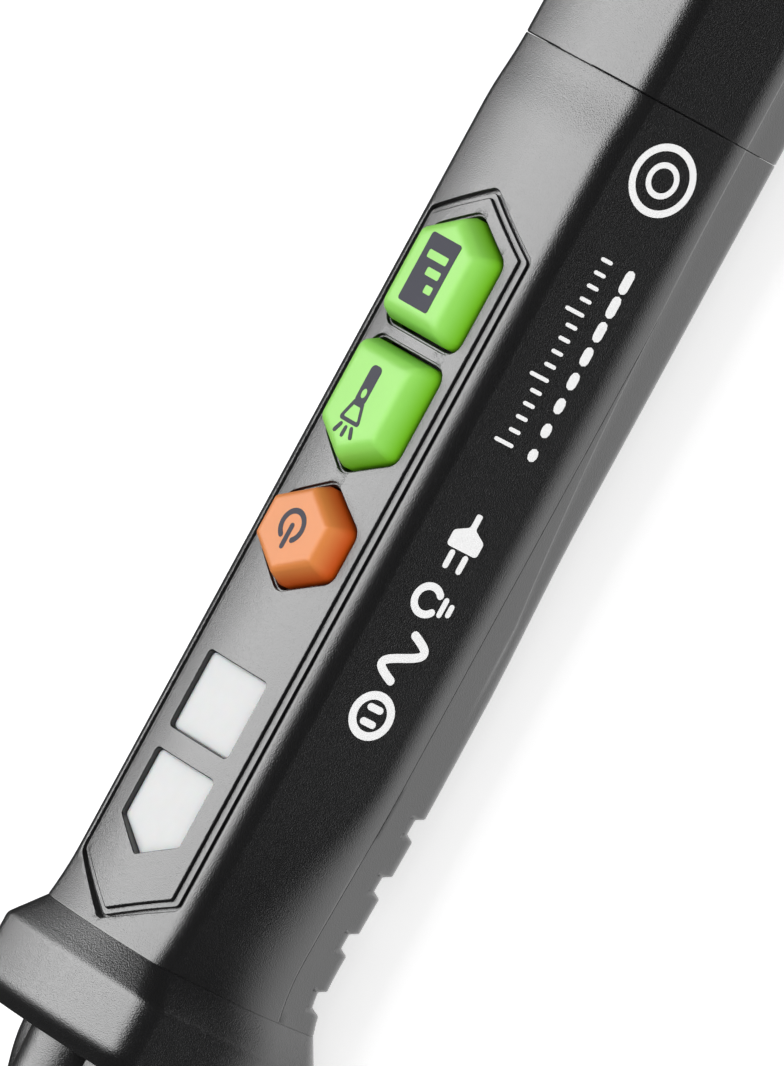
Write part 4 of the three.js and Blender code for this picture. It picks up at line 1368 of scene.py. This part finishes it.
def make_cell(name, node):
    """A dry cell: nipple, rolled shoulders and jacket, its bare ends in steel."""
    low, high = span(node)
    radius = (high.z - low.z) / 2
    can, tail = low.x + 0.9, high.x
    profile = [(low.x, 1.5), (low.x + 0.12, 1.8), (can - 0.1, 1.85), (can, 2.1), (can, 4.1)]
    profile += [(can + 0.1, 4.7), (can + 0.35, radius - 0.1), (can + 0.6, radius), (tail - 0.6, radius)]
    profile += [(tail - 0.3, radius - 0.1), (tail - 0.1, radius - 0.5), (tail - 0.1, 4.0), (tail, 3.8)]
    cell = turned(name, profile, Z_CELL, 64)
    for maker in (cell_jacket, bright_steel):
        cell.data.materials.append(finish(maker))
    for face in cell.data.polygons:
        off_axis = math.hypot(face.center.y / MM, face.center.z / MM - Z_CELL)
        face.material_index = int(off_axis < radius - 0.75 or len(face.vertices) > 4)
    fit_out(cell, None, "housing", node, slot="cell_jacket", degrees=40)


CARRIED = {
    natural_nylon: ["power_plunger", "torch_plunger", "sensitivity_plunger"],
    rubber: ["key_gasket", "cap_seal"],
    circuit_board: ["circuit_board"],
    clear_plastic: ["high_alert_led", "low_alert_led"],
    black_plastic: ["light_baffle"],
    chip_black: [
        "control_chip", "sense_amplifier", "buzzer", "power_switch", "torch_switch", "sensitivity_switch",
    ],
    bright_steel: ["front_contact", "return_strip", "cap_contact_spring", "cap_contact_plate"],
    copper: ["sensor_plate"],
    insulated_lead: ["sensor_lead", "torch_lead"],
}


def finish_carried_nodes():
    """Gives the frame's own inner pieces their materials."""
    for maker, names in CARRIED.items():
        for name in names:
            wear(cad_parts[name], maker)


# ---- stage
# Each softbox: name, azimuth, elevation in degrees, distance and size in metres, whether reflections see it
AWAY, NEAR = math.pi, 0.0
SOFTBOXES = [
    ("sheen", AWAY, 65, 0.6, (0.5, 0.98), True),
    ("under", NEAR, -84, 0.6, (1.0, 1.12), True),
    ("overhead", AWAY, 62, 0.6, (0.5, 0.5), False),
    ("front", NEAR, 25, 0.8, (0.5, 0.5), False),
]


def make_floor():
    select_nothing()
    bpy.ops.mesh.primitive_plane_add(size=8, location=(0, 0, -0.0001))
    floor = bpy.context.object
    floor.name = "floor"
    made = Finish("floor_paper")
    speck = made.noise(3, 2)
    made.set(Base_Color=made.blend(speck, (0.88, 0.88, 0.88, 1), (0.9, 0.9, 0.9, 1)), Roughness=0.9)
    made.set(Specular_IOR_Level=0.0, Emission_Color=(1, 1, 1, 1))
    made.set(Emission_Strength=bpy.context.scene.tester_stage.floor_glow)
    floor.data.materials.append(made.material)
    floor.visible_glossy = False


def towards(azimuth, elevation):
    """A direction from the tester: azimuth 0 is the near side and 90 degrees the tail."""
    level = math.cos(elevation)
    return Vector((math.sin(azimuth) * level, -math.cos(azimuth) * level, math.sin(elevation)))


def add_softbox(name, azimuth, elevation, distance, size, glow, seen):
    """A softbox aimed at the tester, seen either by reflections or by everything else. Its glow is the
    brightness of its surface."""
    direction = towards(azimuth, elevation)
    select_nothing()
    bpy.ops.object.light_add(type="AREA", location=direction * distance + AIM)
    light = bpy.context.object
    light.name = name
    light.data.shape = "RECTANGLE"
    light.data.size, light.data.size_y = size
    light.data.energy = glow * math.pi * size[0] * size[1]
    light.rotation_euler = (-direction).to_track_quat("-Z", "Y").to_euler()
    light.visible_glossy = seen
    light.visible_diffuse = not seen
    light.visible_transmission = not seen


def make_world():
    """White to the camera, dim to reflections and a soft fill to everything else."""
    world = bpy.data.worlds.new("studio")
    bpy.context.scene.world = world
    world.use_nodes = True
    nodes, links = world.node_tree.nodes, world.node_tree.links
    stage = bpy.context.scene.tester_stage
    rays = nodes.new("ShaderNodeLightPath")
    glossy = nodes.new("ShaderNodeMix")
    glossy.inputs[2].default_value = stage.fill
    glossy.inputs[3].default_value = stage.dark
    links.new(rays.outputs["Is Glossy Ray"], glossy.inputs[0])
    camera = nodes.new("ShaderNodeMix")
    camera.inputs[3].default_value = 1.0
    links.new(rays.outputs["Is Camera Ray"], camera.inputs[0])
    links.new(glossy.outputs[0], camera.inputs[2])
    background = nodes["Background"]
    background.inputs["Color"].default_value = (1, 1, 1, 1)
    links.new(camera.outputs[0], background.inputs["Strength"])


def make_camera():
    stage = bpy.context.scene.tester_stage
    back = towards(stage.azimuth, stage.elevation)
    level = Vector((math.cos(stage.azimuth), math.sin(stage.azimuth), 0))
    up = back.cross(level)
    turn = stage.roll
    across = math.cos(turn) * level + math.sin(turn) * up
    upward = -math.sin(turn) * level + math.cos(turn) * up
    aim = AIM + across * stage.aside + upward * stage.aloft
    select_nothing()
    bpy.ops.object.camera_add(location=aim + back * stage.distance)
    camera = bpy.context.object
    camera.name = "view"
    rotation = camera.rotation_euler.to_matrix()
    rotation.col[0], rotation.col[1], rotation.col[2] = across, upward, back
    camera.rotation_euler = rotation.to_euler()
    camera.data.lens = stage.lens
    camera.data.sensor_width = 36
    camera.data.clip_start = 0.01
    camera.data.clip_end = 20
    bpy.context.scene.camera = camera


# ---- settings
def tint(name, description, default):
    return FloatVectorProperty(name=name, description=description, default=default, subtype="COLOR")


def length(name, description, default):
    return FloatProperty(name=name, description=description, default=default, unit="LENGTH")


def angle(name, description, degrees):
    default = math.radians(degrees)
    return FloatProperty(name=name, description=description, default=default, subtype="ANGLE")


def amount(name, description, default, most=100):
    return FloatProperty(name=name, description=description, default=default, min=0, max=most)


class TesterShape(bpy.types.PropertyGroup):
    """Small sizes that only the finished surfaces have."""

    edge: length("Edge rounding", "Radius of the moulded edges", 0.00014)
    seam: length("Seam", "Gap where the shells meet", 0.00003)
    print_depth: length("Print depth", "Thickness of the printed film", 0.00002)


class TesterFinish(bpy.types.PropertyGroup):
    """Colours and surface qualities."""

    body_colour: tint("Body", "Colour of the body", (0.008, 0.008, 0.0085))
    # Each key has a lit top colour and a painted shade colour low on its sides.
    power_colour: tint("Power key", "Colour of its top", (0.8, 0.26, 0.06))
    power_deep_colour: tint("Power key foot", "Colour low on its sides", (0.72, 0.1, 0.006))
    key_colour: tint("Green keys", "Colour of their tops", (0.33, 0.8, 0.13))
    key_deep_colour: tint("Green key foot", "Colour low on their sides", (0.22, 0.68, 0.015))
    print_colour: tint("Side print", "Colour of the side marks", (0.86, 0.86, 0.86))
    legend_colour: tint("Key legends", "Colour of the key marks", (0.05, 0.05, 0.07))
    body_roughness: amount("Body roughness", "How dull the black plastic is", 0.3, 1)
    body_shine: amount("Body shine", "Strength of the plastic's reflection", 0.9, 1)
    grain_depth: length("Grain depth", "Depth of the spark texture", 0.00003)


class TesterStage(bpy.types.PropertyGroup):
    """Camera and lights."""

    azimuth: angle("Azimuth", "Camera's turn towards the tail", 2.8)
    elevation: angle("Elevation", "Camera's height", 43.3)
    roll: angle("Roll", "Camera's turn about its own line", -63.4)
    distance: length("Distance", "Camera to tester", 1.0)
    lens: FloatProperty(name="Lens", description="Focal length in millimetres", default=413.9, unit="CAMERA")
    aside: length("Aside", "Aim moved across the view", -0.00131)
    aloft: length("Aloft", "Aim moved up the view", 0.00047)
    overhead: amount("Overhead", "Glow of the light from above", 2.5)
    front: amount("Front", "Glow of the light from the near side", 3)
    sheen: amount("Sheen", "Glow that shines on the top", 6.3)
    under: amount("Under", "Glow that shines on the underside", 1.4)
    fill: amount("Fill", "Brightness all round", 0.35)
    dark: amount("Dark", "Brightness that reflections see", 0.04)
    floor_glow: amount("Floor glow", "Light that the floor adds", 0.6)


# ---- operators
class TESTER_OT_shells(bpy.types.Operator):
    """Make the front and back body shells"""

    bl_idname = "tester.shells"
    bl_label = "Body shells"

    def execute(self, context):
        skin = body_skin()
        make_front_shell(skin)
        make_back_shell(skin)
        bpy.data.objects.remove(skin)
        return {"FINISHED"}


class TESTER_OT_panel(bpy.types.Operator):
    """Make the control panel and its two windows"""

    bl_idname = "tester.panel"
    bl_label = "Control panel"

    def execute(self, context):
        make_panel()
        make_windows()
        return {"FINISHED"}


class TESTER_OT_keys(bpy.types.Operator):
    """Make the three keys and their legends"""

    bl_idname = "tester.keys"
    bl_label = "Keys"

    def execute(self, context):
        make_keys()
        depth = context.scene.tester_shape.print_depth / MM
        for key, make in zip(KEYS, (make_power_legend, make_torch_legend, make_sensitivity_legend)):
            make(key, depth)
        return {"FINISHED"}


class TESTER_OT_side_marks(bpy.types.Operator):
    """Make the printed marks on the near side"""

    bl_idname = "tester.side_marks"
    bl_label = "Side marks"

    def execute(self, context):
        make_side_marks(context.scene.tester_shape.print_depth / MM)
        return {"FINISHED"}


class TESTER_OT_guard(bpy.types.Operator):
    """Make the finger guard"""

    bl_idname = "tester.guard"
    bl_label = "Finger guard"

    def execute(self, context):
        make_guard()
        return {"FINISHED"}


class TESTER_OT_nose(bpy.types.Operator):
    """Make the nose housing and the sensing tip"""

    bl_idname = "tester.nose"
    bl_label = "Nose and tip"

    def execute(self, context):
        make_nose()
        make_probe()
        return {"FINISHED"}


class TESTER_OT_torch(bpy.types.Operator):
    """Make the torch's lens, reflector and lamp"""

    bl_idname = "tester.torch"
    bl_label = "Torch"

    def execute(self, context):
        make_torch()
        return {"FINISHED"}


class TESTER_OT_cap(bpy.types.Operator):
    """Make the end cap"""

    bl_idname = "tester.cap"
    bl_label = "End cap"

    def execute(self, context):
        make_cap()
        return {"FINISHED"}


class TESTER_OT_clip(bpy.types.Operator):
    """Make the pocket clip and its foot"""

    bl_idname = "tester.clip"
    bl_label = "Pocket clip"

    def execute(self, context):
        make_clip()
        return {"FINISHED"}


class TESTER_OT_screws(bpy.types.Operator):
    """Make the three screws"""

    bl_idname = "tester.screws"
    bl_label = "Screws"

    def execute(self, context):
        make_screw("shell_screw_near", "body_screw_left", "housing")
        make_screw("shell_screw_far", "body_screw_right", "housing")
        make_screw("clip_foot_screw", "clip_screw", "cap")
        return {"FINISHED"}


class TESTER_OT_inside(bpy.types.Operator):
    """Make the cells and finish the inner pieces"""

    bl_idname = "tester.inside"
    bl_label = "Inside"

    def execute(self, context):
        make_cell("dry_cell_front", "front_cell")
        make_cell("dry_cell_rear", "rear_cell")
        finish_carried_nodes()
        return {"FINISHED"}


class TESTER_OT_stage(bpy.types.Operator):
    """Set up the floor, lights and camera"""

    bl_idname = "tester.stage"
    bl_label = "Stage"

    def execute(self, context):
        stage = context.scene.tester_stage
        context.scene.view_settings.view_transform = "Standard"
        make_floor()
        make_world()
        for name, azimuth, degrees, distance, size, seen in SOFTBOXES:
            add_softbox(name, azimuth, math.radians(degrees), distance, size, getattr(stage, name), seen)
        make_camera()
        return {"FINISHED"}


class TESTER_PT_pieces(bpy.types.Panel):
    """Lists the tester's settings and pieces"""

    bl_idname = "TESTER_PT_pieces"
    bl_label = "Voltage tester"
    bl_space_type = "VIEW_3D"
    bl_region_type = "UI"
    bl_category = "Tester"

    def draw(self, context):
        for group in SETTINGS:
            settings = getattr(context.scene, group)
            for name in settings.bl_rna.properties.keys():
                if name not in {"rna_type", "name"}:
                    self.layout.prop(settings, name)
        for operator in OPERATORS:
            self.layout.operator(operator.bl_idname)


SETTINGS = {
    "tester_shape": TesterShape,
    "tester_finish": TesterFinish,
    "tester_stage": TesterStage,
}
OPERATORS = [
    TESTER_OT_stage, TESTER_OT_shells, TESTER_OT_panel, TESTER_OT_keys, TESTER_OT_side_marks, TESTER_OT_guard,
    TESTER_OT_nose, TESTER_OT_torch, TESTER_OT_cap, TESTER_OT_clip, TESTER_OT_screws, TESTER_OT_inside,
]
CLASSES = [*SETTINGS.values(), *OPERATORS, TESTER_PT_pieces]


def register():
    for cls in CLASSES:
        bpy.utils.register_class(cls)
    for name, group in SETTINGS.items():
        setattr(bpy.types.Scene, name, PointerProperty(type=group))


def unregister():
    for name in SETTINGS:
        delattr(bpy.types.Scene, name)
    for cls in reversed(CLASSES):
        bpy.utils.unregister_class(cls)


def main():
    register()
    for operator in OPERATORS:
        group, name = operator.bl_idname.split(".")
        getattr(getattr(bpy.ops, group), name)()
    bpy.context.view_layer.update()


if __name__ == "__main__":
    main()
